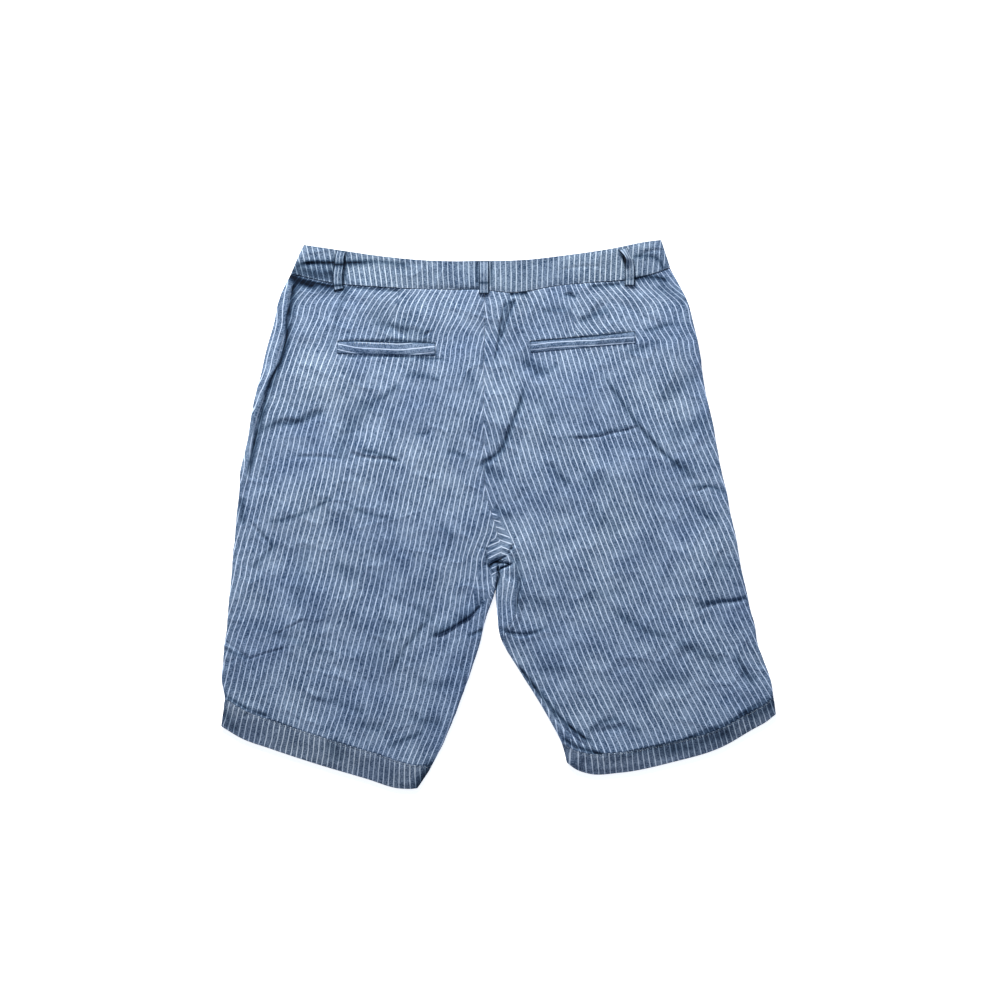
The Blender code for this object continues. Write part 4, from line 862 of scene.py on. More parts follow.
def turned_noise(x, y, size, seed):
    """Noise on a lattice turned by its seed, so that octaves don't line up."""
    turn = 0.7 + 1.9 * seed
    c, s = math.cos(turn), math.sin(turn)
    return value_noise(c * x - s * y, s * x + c * y, size, seed)


def octaves(x, y, table, seed=0):
    """A sum of noises, by their height, size and seed."""
    return sum(height * turned_noise(x, y, size, seed + step) for height, size, step in table)


# The crumple of the cloth. Each row: height, size, seed; then what its own comment says.
SOFT_SWELLS = ((2.1, 64.0, 0), (0.55, 31.0, 1), (0.2, 15.0, 6), (0.11, 5.5, 4))
CROSS_SWELLS = ((0.33, 31.0, 7, 0.5, 1.4, 0.0), (0.16, 14.0, 8, 0.55, 1.5, 1.0))  # stretch x, y; bend
RIDGE_NETS = ((0.75, 29.0, 2, 1.0, 4), (0.32, 13.0, 3, -1.0, 3))  # bend, sharpness
NET_BEND = ((5.0, 31.0, 5),)
CROSS_SLANT = (0.25, 0.8)


def crumple(x, y, seed):
    """Crumpled linen: soft swells, swells across the legs, and nets of sharp low ridges."""
    bend = octaves(x, y, NET_BEND, seed)
    slant = CROSS_SLANT[1] * y + CROSS_SLANT[0] * x
    total = octaves(x, y, SOFT_SWELLS, seed)
    for height, size, step, wide, high, bent in CROSS_SWELLS:
        total = total + height * value_noise(wide * x + bent * bend, high * slant, size, seed + step)
    for height, size, step, bent, sharpness in RIDGE_NETS:
        net = 1.0 - np.abs(turned_noise(x + bent * bend, y - bent * bend, size, seed + step))
        total = total + height * net**sharpness
    return total


def curve_through(points, step=1.6):
    """Points close together on a smooth curve through the given ones."""
    points = np.asarray(points, float)
    length = np.hypot(*np.diff(points, axis=0).T).sum()
    count = max(3, int(length / step))
    return along(points, np.linspace(0.0, len(points) - 1.0, count))


def beside(line, x, y, reach):
    """Which points lie within reach of a line, their distance left of it and their share of it."""
    low, high = line.min(axis=0) - reach, line.max(axis=0) + reach
    near = np.flatnonzero((x > low[0]) & (x < high[0]) & (y > low[1]) & (y < high[1]))
    if not len(near):
        return near, None, None
    start, run = line[:-1], np.diff(line, axis=0)
    square = (run**2).sum(axis=1)
    best = np.full(len(near), 1e9)
    off = np.zeros(len(near))
    share = np.zeros(len(near))
    for i in range(len(start)):
        dx, dy = x[near] - start[i, 0], y[near] - start[i, 1]
        f = np.clip((dx * run[i, 0] + dy * run[i, 1]) / square[i], 0.0, 1.0)
        ex, ey = dx - f * run[i, 0], dy - f * run[i, 1]
        distance = np.hypot(ex, ey)
        closer = distance < best
        best = np.where(closer, distance, best)
        side = np.sign(run[i, 0] * ey - run[i, 1] * ex)
        off = np.where(closer, side * distance, off)
        share = np.where(closer, (i + f) / len(start), share)
    return near, off, share


CREASE_ENDS = (0.22, 0.3)  # shares of its length over which a crease grows and fades
CREASE_START = 0.12  # how far it is grown at its very end
CREASE_REACH = 2.5  # of its half width or its swell's reach: nothing is left of it there
SHADOW_REACH = 2.3
SWELL_START = 1.8  # the swell comes up over this many half widths
SWELL_FALL = 1.6


def add_crease(height, x, y, line, deep, wide, rise=0.0, reach=1.0, side=1):
    """A trough along a line, with a swell on one side that falls off slowly."""
    near, off, share = beside(line, x, y, CREASE_REACH * max(wide, reach * (rise > 0.0)))
    if not len(near):
        return
    fade = ease(share / CREASE_ENDS[0] + CREASE_START) * ease((1.0 - share) / CREASE_ENDS[1] + CREASE_START)
    trough = -deep * bell(off, wide)
    beyond = np.maximum(side * off, 0.0) / reach
    swell = rise * ease(0.5 + side * off / (SWELL_START * wide)) * np.exp(-(beyond**2) * SWELL_FALL)
    height[near] += fade * (trough + swell)


def wrinkle_lines(seed):
    """Short seeded lines with their depths and half widths, mostly across the legs."""
    draw = np.random.RandomState(seed)
    for count, lengths, widths, depths in WRINKLES:
        for _ in range(count):
            middle = draw.uniform(-WRINKLE_FIELD, WRINKLE_FIELD, 2)
            turn = draw.normal(*WRINKLE_TURN)
            length = draw.uniform(*lengths)
            bow = draw.uniform(-WRINKLE_BOW, WRINKLE_BOW) * length
            run = np.array((math.cos(turn), math.sin(turn)))
            aside = np.array((-run[1], run[0]))
            ends = (middle - 0.5 * length * run, middle + bow * aside, middle + 0.5 * length * run)
            deep = draw.uniform(*depths) * draw.choice(WRINKLE_SIGNS)
            yield curve_through(ends, 3.0), deep, draw.uniform(*widths)


def photo_lines(table):
    """Lines and their sizes from a table of creases in the photograph's pixels."""
    rows = []
    for points, *sizes in table:
        px, py = np.array(points).T
        rows.append((curve_through(np.stack(from_photo(px, py), axis=1)), *sizes))
    return rows


def listed(x, y):
    """Two arrays of places as flat lists, and the shape they had together."""
    shape = np.broadcast(x, y).shape
    return np.broadcast_to(x, shape).ravel(), np.broadcast_to(y, shape).ravel(), shape


def creased(lines, x, y):
    """The summed height of many creases at any array of places."""
    x, y, shape = listed(x, y)
    height = np.zeros(x.shape)
    for line, *sizes in lines:
        add_crease(height, x, y, line, *sizes)
    return height.reshape(shape)


def shadowed(lines, x, y):
    """How dark the folds are at any array of places: 0 in the open, 1 where no light reaches."""
    x, y, shape = listed(x, y)
    light = np.ones(x.shape)
    for line, dark, left, right in lines:
        near, off, share = beside(line, x, y, SHADOW_REACH * max(left, right))
        if len(near):
            ends = ease(share / SHADOW_FADE) * ease((1.0 - share) / SHADOW_FADE)
            uneven = 1.0 + octaves(x[near], y[near], SHADOW_UNEVEN)
            profile = bell(off, np.where(off > 0.0, left, right))
            light[near] *= 1.0 - np.minimum(1.0, dark * uneven) * ends * profile
    return 1.0 - light.reshape(shape)


CREASE_SCALE = 1.5  # from the depths in the tables to those of the cloth
FRONT_CREASE_SCALE = 0.7
FRONT_CRUMPLE = 0.25
FRONT_LIMIT = (0.9, 0.3)  # the front rises freely so far, and not much further
BACK_SEED = 11
FRONT_SEED = 47
ROOM_AT_EDGES = 2.0 * CLOTH - 2.0 * SHELL_CLOTH - 0.25  # between the two cloths with no hollow
ROOM_SOFTNESS = 0.35
RELIEF_TILTS = (0.25, 0.6)  # upright cloth has no relief: from how flat it has, over what span
FRONT_SHADE = 0.5
BACK_LINES = photo_lines(BACK_CREASES) + list(wrinkle_lines(BACK_SEED))
BACK_SHADOWS = photo_lines(FOLD_SHADOWS)
TACK_SHADOWS = photo_lines(TACKS)
OPENING_LINES = photo_lines(WELT_LINES)
FRONT_FOLDS = [(curve_through(points), *sizes) for points, *sizes in FRONT_CREASES]
FRONT_LINES = FRONT_FOLDS + list(wrinkle_lines(FRONT_SEED))
FRONT_SHADOWS = [(line, FRONT_SHADE * deep, wide, wide) for line, deep, wide in FRONT_FOLDS]


def back_relief(x, y, openings=True):
    """Height of the upper cloth over its smooth form, kept off the one below, and its shadows."""
    shadow = shadowed(BACK_SHADOWS, x, y)
    height = CREASE_SCALE * creased(BACK_LINES, x, y) + crumple(x, y, BACK_SEED) - FOLD_DEPTH * shadow
    if openings:
        height = height + creased(OPENING_LINES, x, y)
    room = lookup(HOLLOW, y) + swells(x, y) + ROOM_AT_EDGES + front_relief(x, y)[0]
    over = (height + room) / ROOM_SOFTNESS
    return ROOM_SOFTNESS * np.logaddexp(0.0, over) - room, shadow


def front_relief(x, y):
    """The same for the cloth on the floor, which can only rise off it."""
    creases = FRONT_CREASE_SCALE * creased(FRONT_LINES, x, y)
    height = np.abs(FRONT_CRUMPLE * crumple(x, y, FRONT_SEED) + creases)
    free, further = FRONT_LIMIT
    height = np.minimum(height, free + further * np.tanh(height - free))
    return -height, shadowed(FRONT_SHADOWS, x, y)


def cloth_relief(points, normals):
    """How far the cloth stands off its form along its normal, and the painted shadow of its folds."""
    x, y, upwards = points[..., 0], points[..., 1], normals[..., 2]
    above, above_dark = back_relief(x, y)
    below, below_dark = front_relief(x, y)
    start, span = RELIEF_TILTS
    relief = ease((upwards - start) / span) * above + ease((-upwards - start) / span) * below
    from_above = ease((upwards + 0.5) / 0.4)
    return relief, below_dark + from_above * (above_dark - below_dark)


# ---------------------------------------------------------------- shells


def outward(surface, row, arc, upwards):
    """Unit normals of a surface of (row, arc). `upwards` is +1 or -1 for its hand."""
    across = surface(row, arc + PROBE) - surface(row, arc - PROBE)
    down = surface(row + 0.2 * PROBE, arc) - surface(row - 0.2 * PROBE, arc)
    normal = np.cross(across, down)
    return upwards * normal / np.maximum(np.linalg.norm(normal, axis=-1, keepdims=True), 1e-9)


def edge_steps(length, count, least=0.4):
    """`count` places from 0 to each length, close together beside both ends."""
    length = np.asarray(length, float)[..., None]
    near = np.array(NEAR_EDGE) * np.minimum(1.0, least * length / NEAR_EDGE[-1])
    far = length - near[..., ::-1]
    fill = np.linspace(0.0, 1.0, count - 2 * len(NEAR_EDGE) + 2)[1:-1]
    return np.concatenate([near, near[..., -1:] + (far[..., :1] - near[..., -1:]) * fill, far], -1)


def rounded(distance, half):
    """How far an edge rounded over half its thickness falls, at a distance from the edge."""
    inside = 1.0 - np.clip(distance / half, 0.0, 1.0)
    return half * (1.0 - np.sqrt(1.0 - inside**2))


def running(points, axis):
    """Distance along a grid's lines from their first point."""
    steps = np.linalg.norm(np.diff(points, axis=axis), axis=-1)
    start = np.zeros_like(np.take(steps, [0], axis=axis))
    return np.concatenate([start, np.cumsum(steps, axis=axis)], axis=axis)


def from_edges(points, joined=0.0, crisp=1.0):
    """Distance of each grid point from the ends of its column, times `crisp`, and of its row.
    `joined` is added at the end of the row."""
    down = crisp * running(points, 0)
    across = running(points, 1)
    in_row = np.minimum(across, across[:, -1:] - across + joined)
    return np.minimum(np.minimum(down, down[-1:] - down), in_row)


def grid_faces(rows, columns, first, flip):
    """Quads of a grid whose vertices start at `first`."""
    r, c = np.meshgrid(np.arange(rows - 1), np.arange(columns - 1), indexing="ij")
    a = (first + r * columns + c).ravel()
    quads = np.stack([a, a + 1, a + 1 + columns, a + columns], axis=1)
    return quads[:, ::-1] if flip else quads


def rim_faces(outer_edge, inner_edge, flip):
    """Faces between an edge of the outer grid and the coarser edge of the inner one."""
    faces = []
    for i in range(len(inner_edge) - 1):
        strip = list(outer_edge[i * INNER_STEP : (i + 1) * INNER_STEP + 1])
        face = strip + [inner_edge[i + 1], inner_edge[i]]
        faces.append(face[::-1] if flip else face)
    return faces


def bake_places(rows, columns):
    """Places of the outer and inner grid's corners on the bake map."""
    outer_x = np.linspace(BAKE_RIM, 0.955, columns)
    outer_y = np.linspace(BAKE_RIM, 1.0 - BAKE_RIM, rows)
    inner_x = np.linspace(0.972, 1.0, (columns - 1) // INNER_STEP + 1)
    inner_y = np.linspace(0.0, 1.0, (rows - 1) // INNER_STEP + 1)
    outer = np.stack(np.meshgrid(outer_x, outer_y), axis=-1)
    inner = np.stack(np.meshgrid(inner_x, inner_y), axis=-1)
    return outer.reshape(-1, 2), inner.reshape(-1, 2)


def shell_faces(rows, columns, flip, closed):
    """Faces of a shell's outer grid, inner grid and rims, and their corners on the bake map."""
    inner_rows, inner_columns = (rows - 1) // INNER_STEP + 1, (columns - 1) // INNER_STEP + 1
    count = rows * columns
    outer = np.arange(count).reshape(rows, columns)
    inner = count + np.arange(inner_rows * inner_columns).reshape(inner_rows, inner_columns)
    faces = grid_faces(rows, columns, 0, flip).tolist()
    faces += grid_faces(inner_rows, inner_columns, count, not flip).tolist()
    rims = [(outer[0], inner[0], not flip, (0.0, -BAKE_RIM)), (outer[-1], inner[-1], flip, (0.0, BAKE_RIM))]
    if not closed:
        rims.append((outer[:, 0], inner[:, 0], flip, (-BAKE_RIM, 0.0)))
        rims.append((outer[:, -1], inner[:, -1], not flip, (BAKE_RIM, 0.0)))
    outer_map, inner_map = bake_places(rows, columns)
    bake = [np.concatenate([outer_map, inner_map])[np.array(faces)].reshape(-1, 2)]
    for outer_edge, inner_edge, backwards, shift in rims:
        made = rim_faces(outer_edge, inner_edge, backwards)
        faces += made
        partner = dict(zip(inner_edge.tolist(), outer_edge[::INNER_STEP].tolist()))
        for vertex in (vertex for face in made for vertex in face):
            moved = vertex in partner
            place = outer_map[partner[vertex] if moved else vertex]
            bake.append((place + np.array(shift) * moved)[None])
    return [list(face) for face in faces], np.concatenate(bake)


def both_sides(values):
    """A grid's values at the vertices of a shell's outer side and then of its inner one."""
    inner = values[::INNER_STEP, ::INNER_STEP]
    return np.concatenate([values.reshape(-1, *values.shape[2:]), inner.reshape(-1, *values.shape[2:])])


def linked(name, data):
    """A new object of some data, in the scene."""
    made = bpy.data.objects.new(name, data)
    bpy.context.scene.collection.objects.link(made)
    return made


def in_scene(mesh, material):
    """Gives a mesh its material and puts it in the scene."""
    mesh.materials.append(material)
    mesh.shade_smooth()
    return linked(mesh.name, mesh)


def shell(name, points, normals, cloth_places, material, closed=False, thick=SHELL_CLOTH, extra=None):
    """A closed thin shell: a fine outer side, a coarser hidden one, and the rims between them.

    `cloth_places` are each point's stripe number and its place along the stripe in pitches.
    A closed shell's last column repeats its first one, and is joined to it.
    """
    rows, columns = points.shape[:2]
    points[..., 2] = np.maximum(points[..., 2], 0.0)
    inner = (points - thick * normals)[::INNER_STEP, ::INNER_STEP]
    inner[..., 2] = np.maximum(inner[..., 2], INNER_CLEAR)
    vertices = placed(np.concatenate([points.reshape(-1, 3), inner.reshape(-1, 3)]))
    r, c = rows // 2, columns // 2
    across, down = points[r, c + 1] - points[r, c], points[r + 1, c] - points[r, c]
    flip = np.dot(np.cross(across, down), normals[r, c]) < 0.0
    faces, bake = shell_faces(rows, columns, flip, closed)
    mesh = bpy.data.meshes.new(name + "_cloth")
    mesh.from_pydata(vertices.tolist(), [], faces)
    ids = np.empty(len(mesh.loops), dtype=np.int32)
    mesh.loops.foreach_get("vertex_index", ids)
    mesh.uv_layers.new(name="Cloth").uv.foreach_set("vector", both_sides(cloth_places)[ids].ravel())
    mesh.uv_layers.new(name="OFBake").uv.foreach_set("vector", bake.ravel())
    for key, values in (extra or {}).items():
        mesh.attributes.new(key, "FLOAT", "POINT").data.foreach_set("value", both_sides(values))
    if closed:
        join_seam(mesh)
    return in_scene(mesh, material)


def join_seam(mesh):
    """Merges the repeated column of a closed shell."""
    work = bmesh.new()
    work.from_mesh(mesh)
    bmesh.ops.remove_doubles(work, verts=work.verts, dist=1e-6)
    work.to_mesh(mesh)
    work.free()


# ---------------------------------------------------------------- stripes


def guide_row(crossings, px):
    """Stripe numbers along one photo row, carried on evenly past its ends."""
    number, place = np.array(crossings, float).T
    even = (number[-1] - number[0]) / (place[-1] - place[0])
    inside = lookup(np.stack([place, number], axis=1), px)
    return inside + even * (np.minimum(px - place[0], 0.0) + np.maximum(px - place[-1], 0.0))


def guided(guides, px, py):
    """Stripe numbers between the photo rows that were read."""
    rows = np.array([row for row, _ in guides])
    values = np.stack([guide_row(crossings, px) for _, crossings in guides])
    slopes = np.gradient(values, rows, axis=0)
    inside = np.clip(py, rows[0], rows[-1])
    i = np.clip(np.searchsorted(rows, inside) - 1, 0, len(rows) - 2)
    span = rows[i + 1] - rows[i]
    ends = [np.take_along_axis(table, k[None], axis=0)[0] for k in (i, i + 1) for table in (values, slopes)]
    beyond = np.where(py > rows[-1], slopes[-1], slopes[0])
    return hermite((inside - rows[i]) / span, span, *ends) + (py - inside) * beyond


def left_bend(px, py):
    """How many stripes the left leg's are moved by beside the fork, down to its long crease."""
    across = ease((px - BEND_ACROSS[0]) / BEND_ACROSS[1])
    above = 1.0 - ease((py - lookup(BEND_ENDS, px) + 1.5) / 3.0)
    return lookup(LEFT_BEND, py) * across * above


def fork_fold(fold, x, y, number):
    """How far inside a fork fold each point is, and how far its stripes are turned there."""
    line, (top, fade), (turned, left, upper, by_across, by_down), hand = fold
    px, py = to_photo(x, y)
    edge = lookup([(row, across) for across, row in line], py)
    turned = turned + by_across * (px - left) + by_down * (py - upper)
    if hand > 0.0:
        turned = turned - left_bend(px, py)
    turned = hand * np.maximum(hand * turned, 0.0) * ease((py - top) / fade)
    inside = np.where(py < line[-1][1] + 3.0, (px - edge) * hand * MM_PER_PIXEL, -1.0)
    if hand > 0.0:
        spread = lookup(LEFT_SPREAD, py)
        beyond = (px - lookup(SPREAD_LINE, py)) * MM_PER_PIXEL
        first, last = SPREAD_LINE[0][0], lookup(BEND_ENDS, px)
    else:
        spread = guided(RIGHT_STRIP, px, py) - number
        beyond = (lookup(STRIP_EDGE, py) - px) * MM_PER_PIXEL
        first, last = STRIP_EDGE[0][0], STRIP_EDGE[-1][0]
    beyond = np.where((py > first) & (py < last), beyond, -1.0)
    turned = np.where(inside > 0.0, turned, spread)
    return np.where(inside > 0.0, inside, beyond), turned


def back_stripes(guides, hand):
    """A function (x, y) -> stripe number on a back panel."""

    def number(x, y):
        px, py = to_photo(x, y)
        count = guided(guides, px, py) + octaves(x, y, STRIPE_WOBBLE, BACK_WOBBLE_SEED + int(hand))
        return count + left_bend(px, py) if hand < 0.0 else count

    return number


def dart_marks(dart, x, y):
    """How far right of a dart's seam each point is, and the stripes the dart swallows there."""
    line, swallowed = dart
    px, py = to_photo(x, y)
    seam = lookup([(row, across) for across, row in line], py)
    taken = lookup(swallowed, py) * (py < swallowed[-1][0])
    return (px - seam) * MM_PER_PIXEL, taken


# ---------------------------------------------------------------- sewn pieces


def panel_skin(leg, row, arc):
    """Outer side of a leg's panel, with its edges rounded and drawn in by their seams."""

    def surface(r, a):
        return leg.middle(r, a, CLOTH)

    middle = surface(row, arc)
    normals = outward(surface, row, arc, -leg.hand)
    down = row[:, :1]
    touching = ease((down - FORK_ROW + 0.4) / 0.5) * (1.0 - ease((down - LEGS_ROW) / 0.3))
    distance = from_edges(middle, KEPT_FULL * touching, SEAM_CRISPNESS)
    drawn_in = SEAM_DIP * bell(distance, SEAM_DIP_REACH)
    drawn_in = drawn_in * (1.0 + octaves(middle[..., 0], middle[..., 1], PUCKERS))
    proud = 0.5 * CLOTH - rounded(distance, 0.5 * CLOTH) - drawn_in
    relief, shadow = cloth_relief(middle, normals)
    return middle + (proud + relief)[..., None] * normals, normals, shade_of(normals, shadow)


def shade_of(normals, shadow):
    """Painted shade where the cloth turns down at an edge, and painted shadow in its folds."""
    return darkened(shadow, ROLL_SHADE * ease((0.8 - np.abs(normals[..., 2])) / 0.7))


def under_lips(points, shade):
    """Adds the shadow of the lips over a panel's upper and lower edge."""
    down = running(points, 0)
    uneven = 1.0 + octaves(points[..., 0], points[..., 1], LIP_UNEVEN)
    lips = WAIST_LIP_SHADE * bell(down, LIP_REACH) + HEM_LIP_SHADE * bell(down[-1:] - down, LIP_REACH)
    return darkened(shade, uneven * lips)


def panel_rows(count):
    """Rows of a panel, closer together beside its ends and at the fork."""
    middle, half, closer = FINER_ROWS
    fine = np.linspace(0.0, HEM_ROW, 2001)
    steps = np.cumsum(1.0 + closer * bell(fine - middle, half))
    even = edge_steps(HEM_ROW * ROW_LENGTH, count) / ROW_LENGTH
    steps = (steps - steps[0]) / (steps[-1] - steps[0]) * HEM_ROW
    rows = np.interp(even, steps, fine)
    return SEAM_SHARE + rows * (HEM_ROW - 2.0 * SEAM_SHARE) / HEM_ROW


def back_panel(name, leg, guides, dart, fold, cloth):
    rows = panel_rows(PANEL_ROWS)
    total = leg.span(rows, CLOTH)[1]
    first = leg.turned(rows) + 0.5 * SEAM_GAP
    last = total - leg.inner_turned_at(rows) - 0.5 * SEAM_GAP * leg.curl(rows)
    across = edge_steps(last - first, BACK_COLUMNS)
    share = across / across[:, -1:]
    share = share - FINER_EDGES * np.sin(2.0 * math.pi * share) / (2.0 * math.pi)
    arc = -(first[:, None] + share * across[:, -1:])
    row = np.broadcast_to(rows[:, None], arc.shape)
    points, normals, shade = panel_skin(leg, row, arc)
    x, y = points[..., 0], points[..., 1]
    number = back_stripes(guides, leg.hand)(x, y)
    places = np.stack([number, -y / STRIPE_PITCH], axis=-1)
    marks = dict(zip(("dart_side", "dart_taken"), dart_marks(dart, x, y)))
    marks.update(zip(("fork_side", "fork_turn"), fork_fold(fold, x, y, number)))
    marks.update(edge=worn_and_lit_edge(points), shade=under_lips(points, shade))
    return shell(name, points, normals, places, cloth, extra=marks)


def worn_and_lit_edge(points):
    """Marks a piece's edges for wear and painted highlight: 1 on its edges, falling to 0 inside it."""
    return bell(from_edges(points), WORN_AND_LIT_REACH)


def folded_edge_shade(points):
    """Painted shade on a narrow strip's folded edges, and painted shadow where a tack pinches it."""
    rim = np.minimum(1.0, FOLDED_SHADE * bell(from_edges(points), FOLDED_REACH))
    return darkened(shadowed(TACK_SHADOWS, points[..., 0], points[..., 1]), rim)


def turned_places(strip, quarter):
    """Arcs from the end of a turned strip to just past the folded edge, finely."""
    spread = np.linspace(0.0, 1.0, TURNED_PLACES + 1) ** 1.25
    reach = np.maximum(strip - quarter, 0.0)[:, None]
    on_top = np.maximum(reach * spread, 0.1 * np.arange(TURNED_PLACES + 1))
    start = -(strip - 0.5 * SEAM_GAP)[:, None]
    round_edge = np.linspace(0.0, 1.0, EDGE_PLACES + 1)[1:]
    last_on_top = start + on_top[:, -1:]
    past = last_on_top + (quarter[:, None] - last_on_top) * round_edge
    return np.hstack([start + on_top, past])


def front_panel_arcs(leg, rows):
    _, total, _, quarter, _ = leg.span(rows, CLOTH)
    curl = leg.curl(rows)[:, None]
    near_side = turned_places(leg.turned(rows), quarter)
    round_inner = total[:, None] - turned_places(leg.inner_turned_at(rows), quarter)[:, ::-1]
    count = near_side.shape[1]
    flat_inner = total[:, None] - 0.5 * np.arange(count)[::-1]
    near_inner = round_inner * curl + flat_inner * (1.0 - curl)
    start, end = near_side[:, -1:], near_inner[:, :1]
    fill = np.linspace(0.0, 1.0, FRONT_MIDDLE)[1:-1]
    return np.hstack([near_side, start + (end - start) * fill, near_inner])


def front_panel(name, leg, cloth):
    rows = panel_rows(FRONT_ROWS)
    arc = front_panel_arcs(leg, rows)
    row = np.broadcast_to(rows[:, None], arc.shape)
    points, normals, shade = panel_skin(leg, row, arc)
    x, y = points[..., 0], points[..., 1]
    total = leg.span(rows, CLOTH)[1][:, None]
    from_side = (arc + leg.turned(rows)[:, None]) / STRIPE_PITCH
    px, py = to_photo(x, y)
    on_strip = ease((arc - (total - 3.0)) / 3.0) * leg.curl(rows)[:, None]
    from_inner = leg.hand * guided(LEFT_STRIP if leg.hand < 0.0 else RIGHT_STRIP, px, py)
    number = from_side + on_strip * (from_inner - from_side)
    number = number + octaves(x, y, STRIPE_WOBBLE, FRONT_WOBBLE_SEED + int(leg.hand))
    places = np.stack([leg.hand * number, -y / STRIPE_PITCH], axis=-1)
    marks = {"edge": worn_and_lit_edge(points), "shade": under_lips(points, shade)}
    return shell(name, points, normals, places, cloth, extra=marks)


def hem_skin(leg, rows, arcs):
    """Outer side of a hem: a band of double cloth, proud of the leg, rounded at its fold."""

    def surface(r, a):
        return leg.middle(r, a, HEM_CLOTH, HEM_HOLLOW_LOSS)

    row, arc = np.broadcast_arrays(rows[:, None], arcs)
    total = leg.span(rows, HEM_CLOTH, HEM_HOLLOW_LOSS)[1][:, None]
    cut, over = HEM_CORNER[leg.hand]
    short = cut * bell(total - np.abs(arc), over)
    row = rows[0] + (row - rows[0]) * (1.0 - short)
    middle = surface(row, arc)
    normals = outward(surface, row, arc, -leg.hand)
    down = running(middle, 0)
    edge = np.minimum(down, down[-1:] - down)
    x, y = middle[..., 0], middle[..., 1]
    ripple = octaves(x, y, HEM_RIPPLE) * ease(edge / 4.0) * ease(0.5 + 2.0 * normals[..., 2])
    stitched = HEM_GROOVE[0] * bell(down - HEM_STITCH, HEM_GROOVE[1])
    crisp_above = np.minimum(SEAM_CRISPNESS * down, down[-1:] - down)
    proud = 0.5 * HEM_CLOTH - rounded(crisp_above, 0.5 * HEM_CLOTH) - stitched + ripple
    relief, shadow = cloth_relief(middle, normals)
    taken_up = (1.0 - 0.5 * ease(down / HEM_SEAM_REACH)) * ease((down[-1:] - down) / HEM_FOLD_REACH)
    proud = proud + relief * taken_up
    return middle + proud[..., None] * normals, normals, shade_of(normals, shadow)


def hem_rows(count):
    start = HEM_ROW + SEAM_SHARE
    return start + edge_steps((LAST_ROW - start) * ROW_LENGTH, count) / ROW_LENGTH


def hem(name, leg, guides, cloth):
    rows = hem_rows(HEM_ROWS)
    total = leg.span(rows, HEM_CLOTH, HEM_HOLLOW_LOSS)[1][:, None]
    half = edge_steps(total[0, 0], HEM_COLUMNS // 2 + 1) / total[0, 0]
    share = np.concatenate([-half[:0:-1], half])
    arcs = total * share
    points, normals, shade = hem_skin(leg, rows, arcs)
    number = back_stripes(guides, leg.hand)
    down = running(points, 0)
    fan = down * np.interp(np.abs(share), (0.0, 1.0), HEM_FAN[leg.hand])
    top = number(points[..., 0], points[..., 1]) + fan
    side = top[:, HEM_COLUMNS // 2][:, None]
    count = np.where(arcs > 0.0, side + leg.hand * arcs / STRIPE_PITCH, top) + HEM_JOG
    places = np.stack([count, -points[..., 1] / STRIPE_PITCH], axis=-1)
    marks = {"edge": bell(np.minimum(down, down[-1:] - down), WORN_AND_LIT_REACH), "shade": shade}
    return shell(name, points, normals, places, cloth, closed=True, extra=marks)


def band_surface(leg):
    """Middle surface of one leg's half of the waistband, by its share of the height."""
    top_x = WAIST_TOP[0][0] if leg.hand < 0.0 else WAIST_TOP[-1][0]
    laps_over = leg.hand > 0.0

    def levels(x, y, cloth, hollow_loss):
        low, high = leg.levels(x, y, cloth, hollow_loss)
        return low + laps_over * lap_raise(x), high

    def surface(height, arc):
        def place(share, row):
            seam_x, seam_y = leg.plan(share, row)
            x = top_x + (WAIST_TOP_CENTRE - top_x) * share
            y = lookup(WAIST_TOP, x)
            seam_y = seam_y + LAP_CLEAR * ease(20.0 * (share - 1.0))
            return seam_x + (x - seam_x) * height, seam_y + (y - seam_y) * height

        return leg.middle(np.zeros(arc.shape), arc, BAND_CLOTH, level=levels, at=place)

    return surface


def band_arcs():
    """Arcs of the band's columns: of the left half from its lapped end, and of the right half."""
    left, right = [leg.span(np.zeros(1), BAND_CLOTH)[1][0] for leg in (LEFT, RIGHT)]
    lapped = left + LAP
    of_left = [lapped - edge_steps(lapped, BAND_COLUMNS[0]), -edge_steps(left, BAND_COLUMNS[0])[1:]]
    across = edge_steps(right, BAND_COLUMNS[1])
    return (LEFT, np.concatenate(of_left)), (RIGHT, np.concatenate([across - right, across[1:]])[1:])


def band_stripes(points, arc, hand, edge_points):
    """Stripe numbers on the waistband: read off the photo on the back, even on the front."""
    on_back = arc <= 0.0
    x = np.where(on_back, points[..., 0], edge_points[..., 0])
    y = np.where(on_back, points[..., 1], edge_points[..., 1])
    px, py = to_photo(x, y)
    lean = lookup(BAND_LEAN, px)
    number = (px - BAND_STRIPE[0] - lean * (py - BAND_STRIPE[1])) * MM_PER_PIXEL / STRIPE_PITCH
    number = number + 0.5 * octaves(x, y, STRIPE_WOBBLE, BAND_WOBBLE_SEED)
    return number + hand * np.maximum(arc, 0.0) / STRIPE_PITCH


def band_skin(leg, high, arc):
    """Outer side of one half of the waistband, its stripe numbers and its painted shade."""
    surface = band_surface(leg)
    middle = surface(high, arc)
    normals = outward(surface, high, arc, leg.hand)
    up = running(middle, 0)
    below_top = up[-1:] - up
    crisp_below = np.minimum(SEAM_CRISPNESS * up, below_top)
    proud = 0.5 * BAND_CLOTH - rounded(crisp_below, 0.5 * BAND_CLOTH)
    held = BAND_HELD * lookup(BAND_HELD_SHARE, middle[..., 0])
    proud = proud - held * bell(up, BAND_HELD_REACH)
    relief, shadow = cloth_relief(middle, normals)
    proud = proud + relief * (0.5 + 0.5 * ease(below_top / BAND_RELIEF_REACH))
    points = middle + proud[..., None] * normals
    number = band_stripes(points, arc, leg.hand, surface(high, np.zeros(arc.shape)))
    shade = darkened(shade_of(normals, shadow), BAND_TOP_SHADE * bell(below_top, BAND_TOP_REACH))
    return points, normals, number, shade


